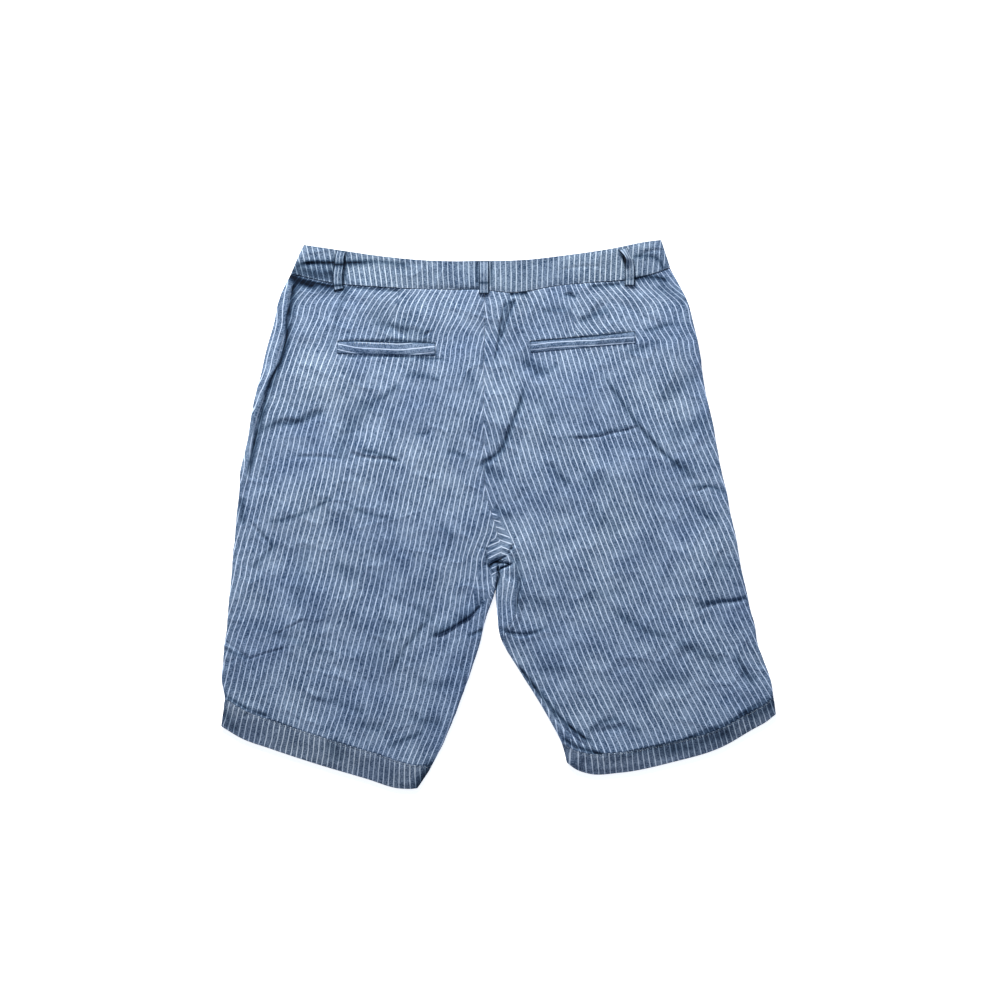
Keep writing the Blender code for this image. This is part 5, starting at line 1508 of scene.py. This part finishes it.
def waistband(cloth):
    height = edge_steps(BAND_HEIGHT, BAND_ROWS) / BAND_HEIGHT
    height = SEAM_SHARE + (1.0 - SEAM_SHARE) * height
    halves = [band_skin(leg, *np.broadcast_arrays(height[:, None], arcs)) for leg, arcs in band_arcs()]
    points, normals, number, shade = (np.hstack(pair) for pair in zip(*halves))
    places = np.stack([number, points[..., 1] / STRIPE_PITCH], axis=-1)
    marks = {"edge": worn_and_lit_edge(points), "shade": shade}
    runs = crossing_runs(points, normals, BAND_STITCH)
    return shell("waistband", points, normals, places, cloth, extra=marks), runs


def loop_skin(line, tilt):
    """Outer side of a belt loop swept along a line, with its folded edges rounded."""
    run = np.gradient(line, axis=0)
    run /= np.linalg.norm(run, axis=1, keepdims=True)
    level = np.cross(run, (0.0, 0.0, 1.0))
    level /= np.linalg.norm(level, axis=1, keepdims=True)
    up = np.cross(level, run)
    turn = np.radians(tilt)[:, None]
    across = level * np.cos(turn) + up * np.sin(turn)
    normal = up * np.cos(turn) - level * np.sin(turn)
    places = edge_steps(LOOP_WIDTH, LOOP_GRID[1], 0.34) - 0.5 * LOOP_WIDTH
    middle = line[:, None] + across[:, None] * places[None, :, None]
    normals = np.broadcast_to(normal[:, None], middle.shape).copy()
    deep, inset, wide = LOOP_GROOVE
    stitched = deep * np.exp(-(((0.5 * LOOP_WIDTH - np.abs(places)) - inset) ** 2) / wide)
    proud = 0.5 * LOOP_CLOTH - rounded(from_edges(middle), 0.5 * LOOP_CLOTH) - stitched
    proud = proud + octaves(middle[..., 0], middle[..., 1], LOOP_RIPPLE)
    return middle + proud[..., None] * normals, normals, places


def loop(name, points, normals, places, cloth):
    """The shell of a belt loop, and the lines of its two tacks."""
    number = np.broadcast_to(places / LOOP_STRIPE_PITCH, points.shape[:2])
    cloth_places = np.stack([number, points[..., 1] / STRIPE_PITCH], axis=-1)
    marks = {"edge": worn_and_lit_edge(points), "shade": folded_edge_shade(points)}
    runs = crossing_runs(points[:, 2:-2], normals[:, 2:-2], TACK)
    return shell(name, points, normals, cloth_places, cloth, thick=LOOP_SHELL, extra=marks), runs


def back_loop(name, rows, cloth):
    """A loop on the back bows off the waistband between its two tacked ends."""
    x, y, clear, tilt = along(rows, np.linspace(0.0, len(rows) - 1.0, LOOP_GRID[0])).T
    on_band = back_level(x, y, BAND_CLOTH) + 0.5 * BAND_CLOTH
    reach = 0.5 * LOOP_WIDTH * np.abs(np.sin(np.radians(tilt)))
    z = on_band + SEAM + 0.5 * LOOP_CLOTH + np.maximum(clear, 0.0) + reach
    z = z + np.maximum(back_relief(x, y)[0], -0.2)
    return loop(name, *loop_skin(np.stack([x, y, z], axis=1), tilt), cloth)


def front_loop(name, x, cloth):
    """A loop on the front lies flat between the waistband and the floor."""
    top = lookup(WAIST_TOP, x) - SEAM
    y = np.linspace(top, lookup(WAIST_SEAM, x) - LOOP_TAIL, LOOP_GRID[0])[::-1]
    line = np.stack([np.full(len(y), x), y, np.full(len(y), 0.5 * LOOP_CLOTH)], axis=1)
    points, normals, places = loop_skin(line, np.zeros(len(y)))
    points[..., 2] = LOOP_CLOTH - points[..., 2]
    return loop(name, points, normals * (1.0, 1.0, -1.0), places, cloth)


def welt_surface(x, y, angle):
    """A welt lies on its back panel and takes its form from it, by (down, across)."""
    turn = math.radians(angle)

    def surface(v, u):
        px = x + u * math.cos(turn) - v * math.sin(turn)
        py = y + u * math.sin(turn) + v * math.cos(turn)
        pz = back_level(px, py, CLOTH) + 0.5 * CLOTH + WELT_CLEAR + 0.5 * WELT_CLOTH
        return np.stack([px, py, pz], axis=-1)

    return surface


def welt_skin(sizes, v, u):
    x, y, length, height, angle = sizes
    surface = welt_surface(x, y, angle)
    middle = surface(v, u)
    normals = outward(surface, v, u, 1.0)
    edge = np.minimum(0.5 * height - np.abs(v), 0.5 * length - np.abs(u))
    held = WELT_HELD * bell(0.5 * height + v, WELT_HELD_REACH)
    proud = 0.5 * WELT_CLOTH - rounded(edge, 0.5 * WELT_CLOTH) - held
    proud = proud + back_relief(middle[..., 0], middle[..., 1], openings=False)[0]
    thick = np.maximum(WELT_SHELL - held, WELT_THINNEST)
    return middle + proud[..., None] * normals, normals, thick


def welt(name, sizes, stripes, cloth):
    _, _, length, height, _ = sizes
    across = edge_steps(length, WELT_GRID[1]) - 0.5 * length
    down = edge_steps(height, WELT_GRID[0], 0.3) - 0.5 * height
    v, u = np.broadcast_arrays(down[:, None], across)
    points, normals, thick = welt_skin(sizes, v, u)
    below_top = 0.5 * height - v
    number = (below_top - stripes[0] - lookup(WELT_SAG[name], u)) / (stripes[1] - stripes[0])
    number = number + octaves(u, v, WELT_UNEVEN)
    places = np.stack([number, u / STRIPE_PITCH], axis=-1)
    # Painted shadow along the welt's upper edge, its lower edge and its ends
    rims = WELT_TOP_RIM_SHADE[0] * bell(below_top, WELT_TOP_RIM_SHADE[1])
    rims = rims + WELT_LOW_RIM_SHADE[name] * bell(height - below_top, WELT_LOW_REACH)
    rims = rims + WELT_END_RIM_SHADE[0] * bell(0.5 * length - np.abs(u), WELT_END_RIM_SHADE[1])
    marks = {"edge": WELT_WEAR_AND_LIGHT * worn_and_lit_edge(points), "shade": np.minimum(rims, WELT_DARKEST)}
    return shell(name, points, normals, places, cloth, thick=thick[..., None], extra=marks)


# ---------------------------------------------------------------- stitching


def welt_tick_runs(sizes):
    """Short stitches across a welt's upper edge."""
    height = sizes[3]
    across = np.arange(*WELT_TICKS)
    down = 0.5 * height - np.linspace(TICK_START, TICK_START + TICK_LENGTH + 0.4, 7)
    points, normals, _ = welt_skin(sizes, *np.broadcast_arrays(down[:, None], across))
    return [(points[:, k], normals[:, k]) for k in range(1, len(across) - 1)]


def crossing_runs(points, normals, inset):
    """Lines across a strip, at an inset from both ends of its columns."""
    down = running(points, 0).mean(axis=1)
    rows = [np.argmin(np.abs(down - place)) for place in (inset, down[-1] - inset)]
    return [(points[k], normals[k]) for k in rows]


def stitch_vertices(middle, run, aside, normal, length, radius):
    """A small rounded stitch: its two tips and the rings between them."""
    up = np.cross(aside, run)
    half = 0.5 * length * run
    sunk = 0.5 * radius * normal
    rings = []
    for share, thick in STITCH_RINGS:
        for angle in np.arange(STITCH_SIDES) * (2.0 * math.pi / STITCH_SIDES):
            spoke = aside * math.cos(angle) + up * math.sin(angle) * STITCH_FLATNESS
            rings.append(middle + share * length * run + radius * thick * spoke)
    return [middle - half - sunk, *rings, middle + half - sunk]


def stitch_faces(first):
    """Faces of a stitch whose vertices start at `first`."""
    last = first + 1 + STITCH_SIDES * len(STITCH_RINGS)
    faces = []
    for k in range(STITCH_SIDES):
        n = (k + 1) % STITCH_SIDES
        faces.append((first, first + 1 + n, first + 1 + k))
        faces.append((last, last - STITCH_SIDES + k, last - STITCH_SIDES + n))
        for a in range(first + 1, last - STITCH_SIDES, STITCH_SIDES):
            faces.append((a + k, a + n, a + STITCH_SIDES + n, a + STITCH_SIDES + k))
    return faces


def between(values, at, place):
    """Points or normals of a line, read at a distance along it."""
    return np.array([np.interp(place, at, values[:, k]) for k in range(3)])


def lay_stitches(name, runs, material, length=2.3, gap=0.9, radius=0.26, sink=0.12):
    """One mesh of stitches along lines of (points, normals)."""
    draw = np.random.RandomState(STITCH_SEED)
    vertices, faces = [], []
    for points, normals in runs:
        at = running(points, 0)
        for start in np.arange(0.5 * gap, at[-1] - length, length + gap):
            first, last = between(points, at, start), between(points, at, start + length)
            normal = between(normals, at, start)
            own = length * draw.uniform(*STITCH_LENGTHS)
            run = (last - first) / np.linalg.norm(last - first)
            aside = np.cross(run, normal)
            aside /= np.linalg.norm(aside)
            run = run + aside * draw.uniform(-STITCH_TURN, STITCH_TURN)
            middle = 0.5 * (first + last) - normal * sink
            faces += stitch_faces(len(vertices))
            vertices += stitch_vertices(middle, run, aside, normal, own, radius)
    mesh = bpy.data.meshes.new(name)
    mesh.from_pydata(placed(np.array(vertices)).tolist(), [], faces)
    return in_scene(mesh, material)


def hem_stitch_runs(leg):
    """The row of stitching along the hem, over the back and then under the front."""
    rows = hem_rows(HEM_ROWS)
    total = leg.span(rows, HEM_CLOTH, HEM_HOLLOW_LOSS)[1][:, None]
    runs = []
    near, far = HEM_STITCH_ENDS
    for ends in ((-far, -near), (near, far)):
        points, normals, _ = hem_skin(leg, rows, total * np.linspace(*ends, HEM_STITCH_PLACES))
        k = np.argmin(np.abs(running(points, 0).mean(axis=1) - HEM_STITCH))
        runs.append((points[k], normals[k]))
    return runs


# ---------------------------------------------------------------- materials

WEAVE_PITCH = 0.9  # millimetres between yarns
SHADE_POWERS = (1.2, 1.0, 0.85)  # red fades first where little light reaches, blue last
TINTS = ((0.80, 0.83, 0.90), (1.16, 1.12, 1.06))  # the cloth's tone is uneven between these, at random; its broad patches also stand in for painted soft shade
STRIPE_HALF = 0.52  # half the width of a stripe, and how softly it ends
STRIPE_SOFTNESS = (0.22, 0.2)
DART_WIDTH = (0.2, 0.9)
CLOTH_FINISH = {
    "Sheen Weight": 0.05,
    "Sheen Tint": (0.55, 0.72, 1.0, 1.0),
    "Sheen Roughness": 0.5,
    "Specular IOR Level": 0.12,
}


class Graph:
    """Short calls for building one material's nodes."""

    def __init__(self, name):
        self.material = bpy.data.materials.new(name)
        self.material.use_nodes = True
        self.tree = self.material.node_tree
        self.shader = self.tree.nodes["Principled BSDF"]

    def put(self, socket, value):
        if isinstance(value, bpy.types.NodeSocket):
            self.tree.links.new(value, socket)
        else:
            socket.default_value = value

    def finish(self, inputs, bump=None):
        """Sets the shader's inputs and a bump of (strength, distance, height)."""
        if bump is not None:
            bump = dict(zip(("Strength", "Distance", "Height"), bump))
            self.put(self.shader.inputs["Normal"], self.node("ShaderNodeBump", bump).outputs[0])
        for key, value in inputs.items():
            self.put(self.shader.inputs[key], value)
        return self.material

    def node(self, kind, inputs, **settings):
        made = self.tree.nodes.new(kind)
        for key, value in settings.items():
            setattr(made, key, value)
        for key, value in inputs.items():
            self.put(made.inputs[key], value)
        return made

    def math(self, operation, *values):
        return self.node("ShaderNodeMath", dict(enumerate(values)), operation=operation).outputs[0]

    def times(self, first, second):
        return self.math("MULTIPLY", first, second)

    def times_plus(self, first, second, added):
        return self.math("MULTIPLY_ADD", first, second, added)

    def without(self, value, whole=1.0):
        return self.math("SUBTRACT", whole, value)

    def vector(self, x, y, z=0.0):
        return self.node("ShaderNodeCombineXYZ", {"X": x, "Y": y, "Z": z}).outputs[0]

    def object_place(self):
        return self.node("ShaderNodeTexCoord", {}).outputs["Object"]

    def noise(self, place, scale=1.0, detail=1.0, rough=0.5):
        inputs = {"Vector": place, "Scale": scale, "Detail": detail, "Roughness": rough}
        return self.node("ShaderNodeTexNoise", inputs).outputs[0]

    def step(self, value, low, high):
        inputs = {"Value": value, "From Min": low, "From Max": high}
        return self.node("ShaderNodeMapRange", inputs, interpolation_type="SMOOTHSTEP").outputs[0]

    def mix(self, share, first, second, blend="MIX"):
        inputs = {0: share}
        for key, value in ((6, first), (7, second)):
            inputs[key] = (*value, 1.0) if isinstance(value, tuple) else value
        return self.node("ShaderNodeMix", inputs, data_type="RGBA", blend_type=blend).outputs[2]

    def attribute(self, name):
        return self.node("ShaderNodeAttribute", {}, attribute_name=name).outputs["Fac"]

    def weighed(self, *terms):
        """The sum of (socket - 0.5) * weight over the terms, about 0.5."""
        total = 0.5
        for socket, weight in terms:
            total = self.math("ADD", self.times_plus(socket, weight, -0.5 * weight), total)
        return total


class ClothGraph(Graph):
    """A cloth's material: its stripe numbers, its places along the yarns, and their noises."""

    def __init__(self, name):
        super().__init__(name)
        places = self.node("ShaderNodeUVMap", {}, uv_map="Cloth").outputs[0]
        places = self.node("ShaderNodeSeparateXYZ", {0: places}).outputs
        number = places["X"]
        for moved, side in (("dart_taken", "dart_side"), ("fork_turn", "fork_side")):
            inside = self.math("GREATER_THAN", self.attribute(side), 0.0)
            number = self.times_plus(self.attribute(moved), inside, number)
        self.number = number
        self.across = self.times(number, STRIPE_PITCH)
        self.down = self.times(places["Y"], STRIPE_PITCH)
        self.warp = self.yarn(0.7, 5.0)
        self.weft = self.yarn(4.0, 0.6)
        self.heather = self.yarn(1.5, 1.2, 2.0)
        self.clots = self.yarn(3.2, 4.2, 2.0)
        self.slub = self.step(self.yarn(9.0, 0.9), 0.7, 0.8)
        self.mottle = self.noise(self.object_place(), 42.0, 4.0, 0.62)
        self.broad = self.noise(self.object_place(), 11.0, 2.0, 0.5)

    def yarn(self, width, length, detail=1.0):
        """Noise with features this wide and long, in millimetres along the yarns."""
        place = self.vector(self.math("DIVIDE", self.across, width), self.math("DIVIDE", self.down, length))
        return self.noise(place, 1.0, detail)

    def chambray(self, dark, pale, stripe):
        """Blue warp and pale weft, with slubs."""
        noises = (self.warp, self.weft, self.heather, self.clots, self.mottle)
        tone = self.weighed(*zip(noises, (1.2, 1.6, 1.9, 1.0, 1.1)))
        ground = self.mix(self.step(tone, -0.1, 1.1), dark, pale)
        return self.mix(self.times(self.slub, 0.3), ground, stripe)

    def stripes(self, half):
        """How strongly each point shows a stripe."""
        shifted = self.times_plus(self.yarn(0.9, 2.2), 0.05, self.number)
        parted = self.math("ABSOLUTE", self.math("SUBTRACT", self.math("FRACT", shifted), 0.5))
        off = self.times(self.without(parted, 0.5), STRIPE_PITCH)
        line = self.without(self.step(off, half - STRIPE_SOFTNESS[0], half + STRIPE_SOFTNESS[1]))
        uneven = self.weighed((self.yarn(8.0, 3.0, 2.0), 0.9), (self.yarn(1.2, 0.8), 0.7), (self.broad, 0.4))
        return self.times(line, self.step(uneven, -0.55, 0.75))

    def edge_wear_highlight_and_darts(self, colour, stripe, dark):
        """Pale at the edges, for wear and as painted highlight where folded edges catch the light; dark
        along the sewn darts.
        """
        uneven = self.step(self.weighed((self.clots, 1.0), (self.mottle, 1.0)), 0.2, 0.8)
        wear_and_highlight = self.times(self.attribute("edge"), uneven)
        colour = self.mix(self.times(wear_and_highlight, 0.1), colour, stripe)
        off_dart = self.step(self.math("ABSOLUTE", self.attribute("dart_side")), *DART_WIDTH)
        dart = self.times(self.without(off_dart), self.step(self.attribute("dart_taken"), 0.05, 0.5))
        return self.mix(self.times(dart, 0.45), colour, dark)

    def lit(self, colour):
        """Painted shade from the shade attribute, darkest in the folds; and an uneven tint at random, whose
        broad patches also stand in for painted soft shade.
        """
        light = self.without(self.times(self.attribute("shade"), 0.985))
        light = self.vector(*(self.math("POWER", light, power) for power in SHADE_POWERS))
        tint = self.step(self.weighed((self.mottle, 0.75), (self.broad, 1.7)), 0.0, 1.0)
        colour = self.mix(1.0, colour, light, "MULTIPLY")
        return self.mix(1.0, colour, self.mix(tint, *TINTS), "MULTIPLY")

    def weave(self):
        """Height of the woven yarns."""
        beat = 2.0 * math.pi / WEAVE_PITCH
        waves = [self.math("SINE", self.times(place, beat)) for place in (self.across, self.down)]
        yarns = self.weighed((self.warp, 0.5), (self.weft, 0.7), (self.heather, 0.9), (self.slub, 0.4))
        return self.times_plus(self.times(*waves), 0.12, yarns)


def striped_cloth(name, dark, pale, stripe, half=STRIPE_HALF):
    """Pinstriped chambray: uneven pale stripes, slubs, wear and painted highlight at the edges, painted
    shade, weave.
    """
    g = ClothGraph(name)
    colour = g.mix(g.stripes(half), g.chambray(dark, pale, stripe), stripe)
    colour = g.lit(g.edge_wear_highlight_and_darts(colour, stripe, dark))
    rough = g.step(g.weighed((g.heather, 0.6), (g.mottle, 0.4)), -3.4, 0.7)
    inputs = {"Base Color": colour, "Roughness": rough, **CLOTH_FINISH}
    return g.finish(inputs, (0.55, 0.00016, g.weave()))


def thread(name, dark, pale):
    """Twisted sewing thread."""
    g = Graph(name)
    place = g.object_place()
    twist = g.node("ShaderNodeTexWave", {"Vector": place, "Scale": 900.0, "Distortion": 3.0}).outputs[1]
    colour = g.mix(g.weighed((twist, 0.4), (g.noise(place, 260.0, 2.0), 1.2)), dark, pale)
    return g.finish({"Base Color": colour, "Roughness": 0.62}, (0.5, 0.0001, twist))


def shell_button(name):
    """Marbled dark blue resin, polished but a little scratched."""
    g = Graph(name)
    place = g.object_place()
    swirl = g.noise(place, 220.0, 4.0, 0.6)
    fine = g.noise(place, 1500.0, 2.0)
    colour = g.mix(g.step(swirl, 0.35, 0.68), RESIN_DARK, RESIN_PALE)
    rough = g.step(g.weighed((fine, 0.5), (swirl, 0.3)), -1.0, 2.2)
    return g.finish({"Base Color": colour, "Roughness": rough}, (0.2, 0.00005, fine))


def plain_floor(name):
    """Matt white, and glowing where the garment's shadows don't need it dark."""
    g = Graph(name)
    place = g.object_place()
    parts = g.node("ShaderNodeSeparateXYZ", {0: place}).outputs
    aside = g.step(g.math("ABSOLUTE", parts["X"]), *GLOW_ASIDE)
    below = g.step(g.times(parts["Y"], -1.0), *GLOW_BELOW)
    above = g.step(parts["Y"], *GLOW_ABOVE)
    clear = g.math("MAXIMUM", aside, g.math("MAXIMUM", below, above))
    return g.finish({
        "Base Color": g.mix(g.noise(place, 3.0, 2.0), (0.95, 0.95, 0.95), (0.97, 0.97, 0.97)),
        "Roughness": 0.9,
        "Specular IOR Level": 0.1,
        "Emission Color": (1.0, 1.0, 1.0, 1.0),
        "Emission Strength": g.times(clear, FLOOR_GLOW),
    })


# ---------------------------------------------------------------- studio

AMBIENT = 0.28
AMBIENT_COLOUR = (0.78, 0.93, 1.2, 1.0)
FLOOR_REACH = 4.0
FLOOR_HEIGHT = -0.0003  # just under the garment
FLOOR_GLOW = 0.7  # the floor is a light table, so that shadows on it stay pale
GLOW_ASIDE = (0.19, 0.235)  # it glows from here outwards, not under the body of the garment
GLOW_BELOW = (0.084, 0.094)
GLOW_ABOVE = (0.24, 0.285)
LIGHTS = (
    # name, turn from +X, height, distance, size, power, colour
    ("key", 103.0, 25.0, 2.1, 0.7, 99.0, (1.04, 0.99, 0.905)),
    ("fill", -50.0, 60.0, 2.8, 2.6, 7.0, (0.95, 0.97, 1.0)),
)
CAMERA_PLACE = (0.0018, 0.0175, 2.833)


def aim(thing, target):
    """Turns a light's or camera's -Z towards a point."""
    away = Vector(thing.location) - Vector(target)
    thing.rotation_euler = away.to_track_quat("Z", "Y").to_euler()


def lay_floor():
    mesh = bpy.data.meshes.new("floor")
    signs = ((-1, -1), (1, -1), (1, 1), (-1, 1))
    corners = [(FLOOR_REACH * x, FLOOR_REACH * y, FLOOR_HEIGHT) for x, y in signs]
    mesh.from_pydata(corners, [], [(0, 1, 2, 3)])
    mesh.materials.append(plain_floor("floor_paint"))
    floor = linked("floor", mesh)


def hang_light(name, turn, height, distance, size, power, colour):
    """A round soft light that shines at the middle of the garment."""
    lamp = bpy.data.lights.new(name, "AREA")
    lamp.shape = "DISK"
    lamp.size = size
    lamp.energy = power
    lamp.color = colour
    light = linked(name, lamp)
    turn, height = math.radians(turn), math.radians(height)
    aside = distance * math.cos(height)
    light.location = (aside * math.cos(turn), aside * math.sin(turn), distance * math.sin(height))
    aim(light, (0.0, 0.0, 0.0))


def studio():
    lay_floor()
    world = bpy.data.worlds.new("studio")
    world.use_nodes = True
    background = world.node_tree.nodes["Background"]
    background.inputs["Color"].default_value = AMBIENT_COLOUR
    background.inputs["Strength"].default_value = AMBIENT
    bpy.context.scene.world = world
    for light in LIGHTS:
        hang_light(*light)
    lens = bpy.data.cameras.new("camera")
    lens.lens = 85.0
    lens.sensor_width = 36.0
    camera = linked("camera", lens)
    camera.location = CAMERA_PLACE
    bpy.context.scene.camera = camera
    bpy.context.scene.view_settings.view_transform = "Standard"


# ---------------------------------------------------------------- the garment

CHAMBRAY_DARK = (0.0218, 0.052, 0.112)
CHAMBRAY_PALE = (0.188, 0.266, 0.400)
CHAMBRAY_STRIPE = (0.52, 0.64, 0.84)
BAND_DARK = (0.0204, 0.046, 0.094)
BAND_PALE = (0.162, 0.228, 0.332)
BAND_STRIPE_COLOUR = (0.45, 0.555, 0.70)
HEM_DARK = (0.0215, 0.043, 0.083)
HEM_PALE = (0.136, 0.184, 0.270)
HEM_STRIPE_COLOUR = (0.395, 0.475, 0.595)
THREAD_DARK = (0.30, 0.38, 0.50)
THREAD_PALE = (0.62, 0.70, 0.82)
BAND_THREAD_DARK = (0.12, 0.17, 0.26)
BAND_THREAD_PALE = (0.34, 0.42, 0.56)
TACK_DARK = (0.03, 0.06, 0.12)
TACK_PALE = (0.14, 0.20, 0.31)
RESIN_DARK = (0.022, 0.036, 0.066)
RESIN_PALE = (0.12, 0.17, 0.25)
HEM_STRIPE_HALF = 0.56

PANEL_CUTS = {
    # flat width and length, and the area cut out of it, in metres
    "back_panel_left": ((0.336, 0.589), 0.153),
    "back_panel_right": ((0.347, 0.583), 0.150),
    "front_panel_left": ((0.336, 0.590), 0.159),
    "front_panel_right": ((0.347, 0.583), 0.154),
}
HEM_CUTS = {"hem_left": ((0.515, 0.032), 0.0159), "hem_right": ((0.525, 0.024), 0.0116)}
BAND_CUT = ((0.925, 0.038), 0.0336)
LOOP_CUTS = {
    "belt_loop_back_left": (0.0115, 0.047),
    "belt_loop_back_center": (0.0115, 0.039),
    "belt_loop_back_right": (0.0115, 0.048),
    "belt_loop_front_left": (0.0115, 0.042),
    "belt_loop_front_right": (0.0115, 0.042),
}


def finish_piece(piece, slot, node=None, cut=None, area=None, rests_on=(), with_pieces=()):
    """Rides a piece on the body and stands it in for its node."""
    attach(piece, "root")
    if node is not None:
        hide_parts(node)
        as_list(rests_on)
        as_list(with_pieces)
    return piece


def dress_leg(side, leg, guides, dart, fold, cloth, hem_cloth, sewing):
    node = "front_panel_" + side
    front = front_panel(node, leg, cloth)
    finish_piece(front, "striped_linen", node, *PANEL_CUTS[node], rests_on=["belt_loop_front_" + side])
    node = "back_panel_" + side
    back = back_panel(node, leg, guides, dart, fold, cloth)
    finish_piece(back, "striped_linen", node, *PANEL_CUTS[node], rests_on=[front])
    stitched = lay_stitches("hem_stitching_" + side, hem_stitch_runs(leg), sewing)
    finish_piece(stitched, "stitching")
    node = "hem_" + side
    turn_up = hem(node, leg, guides, hem_cloth)
    finish_piece(turn_up, "hem_linen", node, *HEM_CUTS[node], rests_on=[front], with_pieces=[stitched])
    node = "belt_loop_front_" + side
    under, runs = front_loop(node, CENTRE_FRONT + leg.hand * FRONT_LOOP_OFFSET, cloth)
    tacked = tack(node, runs)
    finish_piece(under, "striped_linen", node, LOOP_CUTS[node], rests_on=["waistband"], with_pieces=[tacked])
    return front, back


def tack(node, runs):
    """The tacks that hold a belt loop down, in a thread as dark as the cloth."""
    material = bpy.data.materials.get("tack_thread") or thread("tack_thread", TACK_DARK, TACK_PALE)
    stitched = lay_stitches(node + "_tacks", runs, material, length=1.0, gap=0.15, radius=0.22)
    return finish_piece(stitched, "stitching")


def dress():
    cloth = striped_cloth("chambray", CHAMBRAY_DARK, CHAMBRAY_PALE, CHAMBRAY_STRIPE)
    hem_cloth = striped_cloth("hem_chambray", HEM_DARK, HEM_PALE, HEM_STRIPE_COLOUR, HEM_STRIPE_HALF)
    sewing = thread("sewing_thread", THREAD_DARK, THREAD_PALE)
    left = dress_leg("left", LEFT, LEFT_STRIPES, LEFT_DART, LEFT_FORK, cloth, hem_cloth, sewing)
    right = dress_leg("right", RIGHT, RIGHT_STRIPES, RIGHT_DART, RIGHT_FORK, cloth, hem_cloth, sewing)
    band_cloth = striped_cloth("band_chambray", BAND_DARK, BAND_PALE, BAND_STRIPE_COLOUR)
    band, runs = waistband(band_cloth)
    band_thread = thread("band_thread", BAND_THREAD_DARK, BAND_THREAD_PALE)
    stitched = lay_stitches("waistband_stitching", runs, band_thread, radius=0.2)
    finish_piece(stitched, "stitching")
    legs = [left[0], right[0]]
    finish_piece(band, "striped_linen", "waistband", *BAND_CUT, rests_on=legs, with_pieces=[stitched])
    for node, rows in BACK_LOOPS.items():
        piece, runs = back_loop(node, rows, band_cloth)
        tacked = tack(node, runs)
        finish_piece(piece, "striped_linen", node, LOOP_CUTS[node], rests_on=[band], with_pieces=[tacked])
    ticked = welt_tick_runs(WELTS["pocket_welt_left"])
    ticks = lay_stitches("welt_stitching", ticked, sewing, TICK_LENGTH, 0.2, 0.4, -0.1)
    finish_piece(ticks, "stitching")
    for node, (_, back) in zip(WELTS, (left, right)):
        sizes = WELTS[node]
        piece = welt(node, sizes, WELT_STRIPES[node], cloth)
        sewn_on = [ticks] if node == "pocket_welt_left" else []
        cut = (sizes[2] * MM, sizes[3] * MM)
        finish_piece(piece, "striped_linen", node, cut, rests_on=[back], with_pieces=sewn_on)
    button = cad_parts["waist_button"]
    button.material_slots[0].material = shell_button("resin")


dress()
studio()
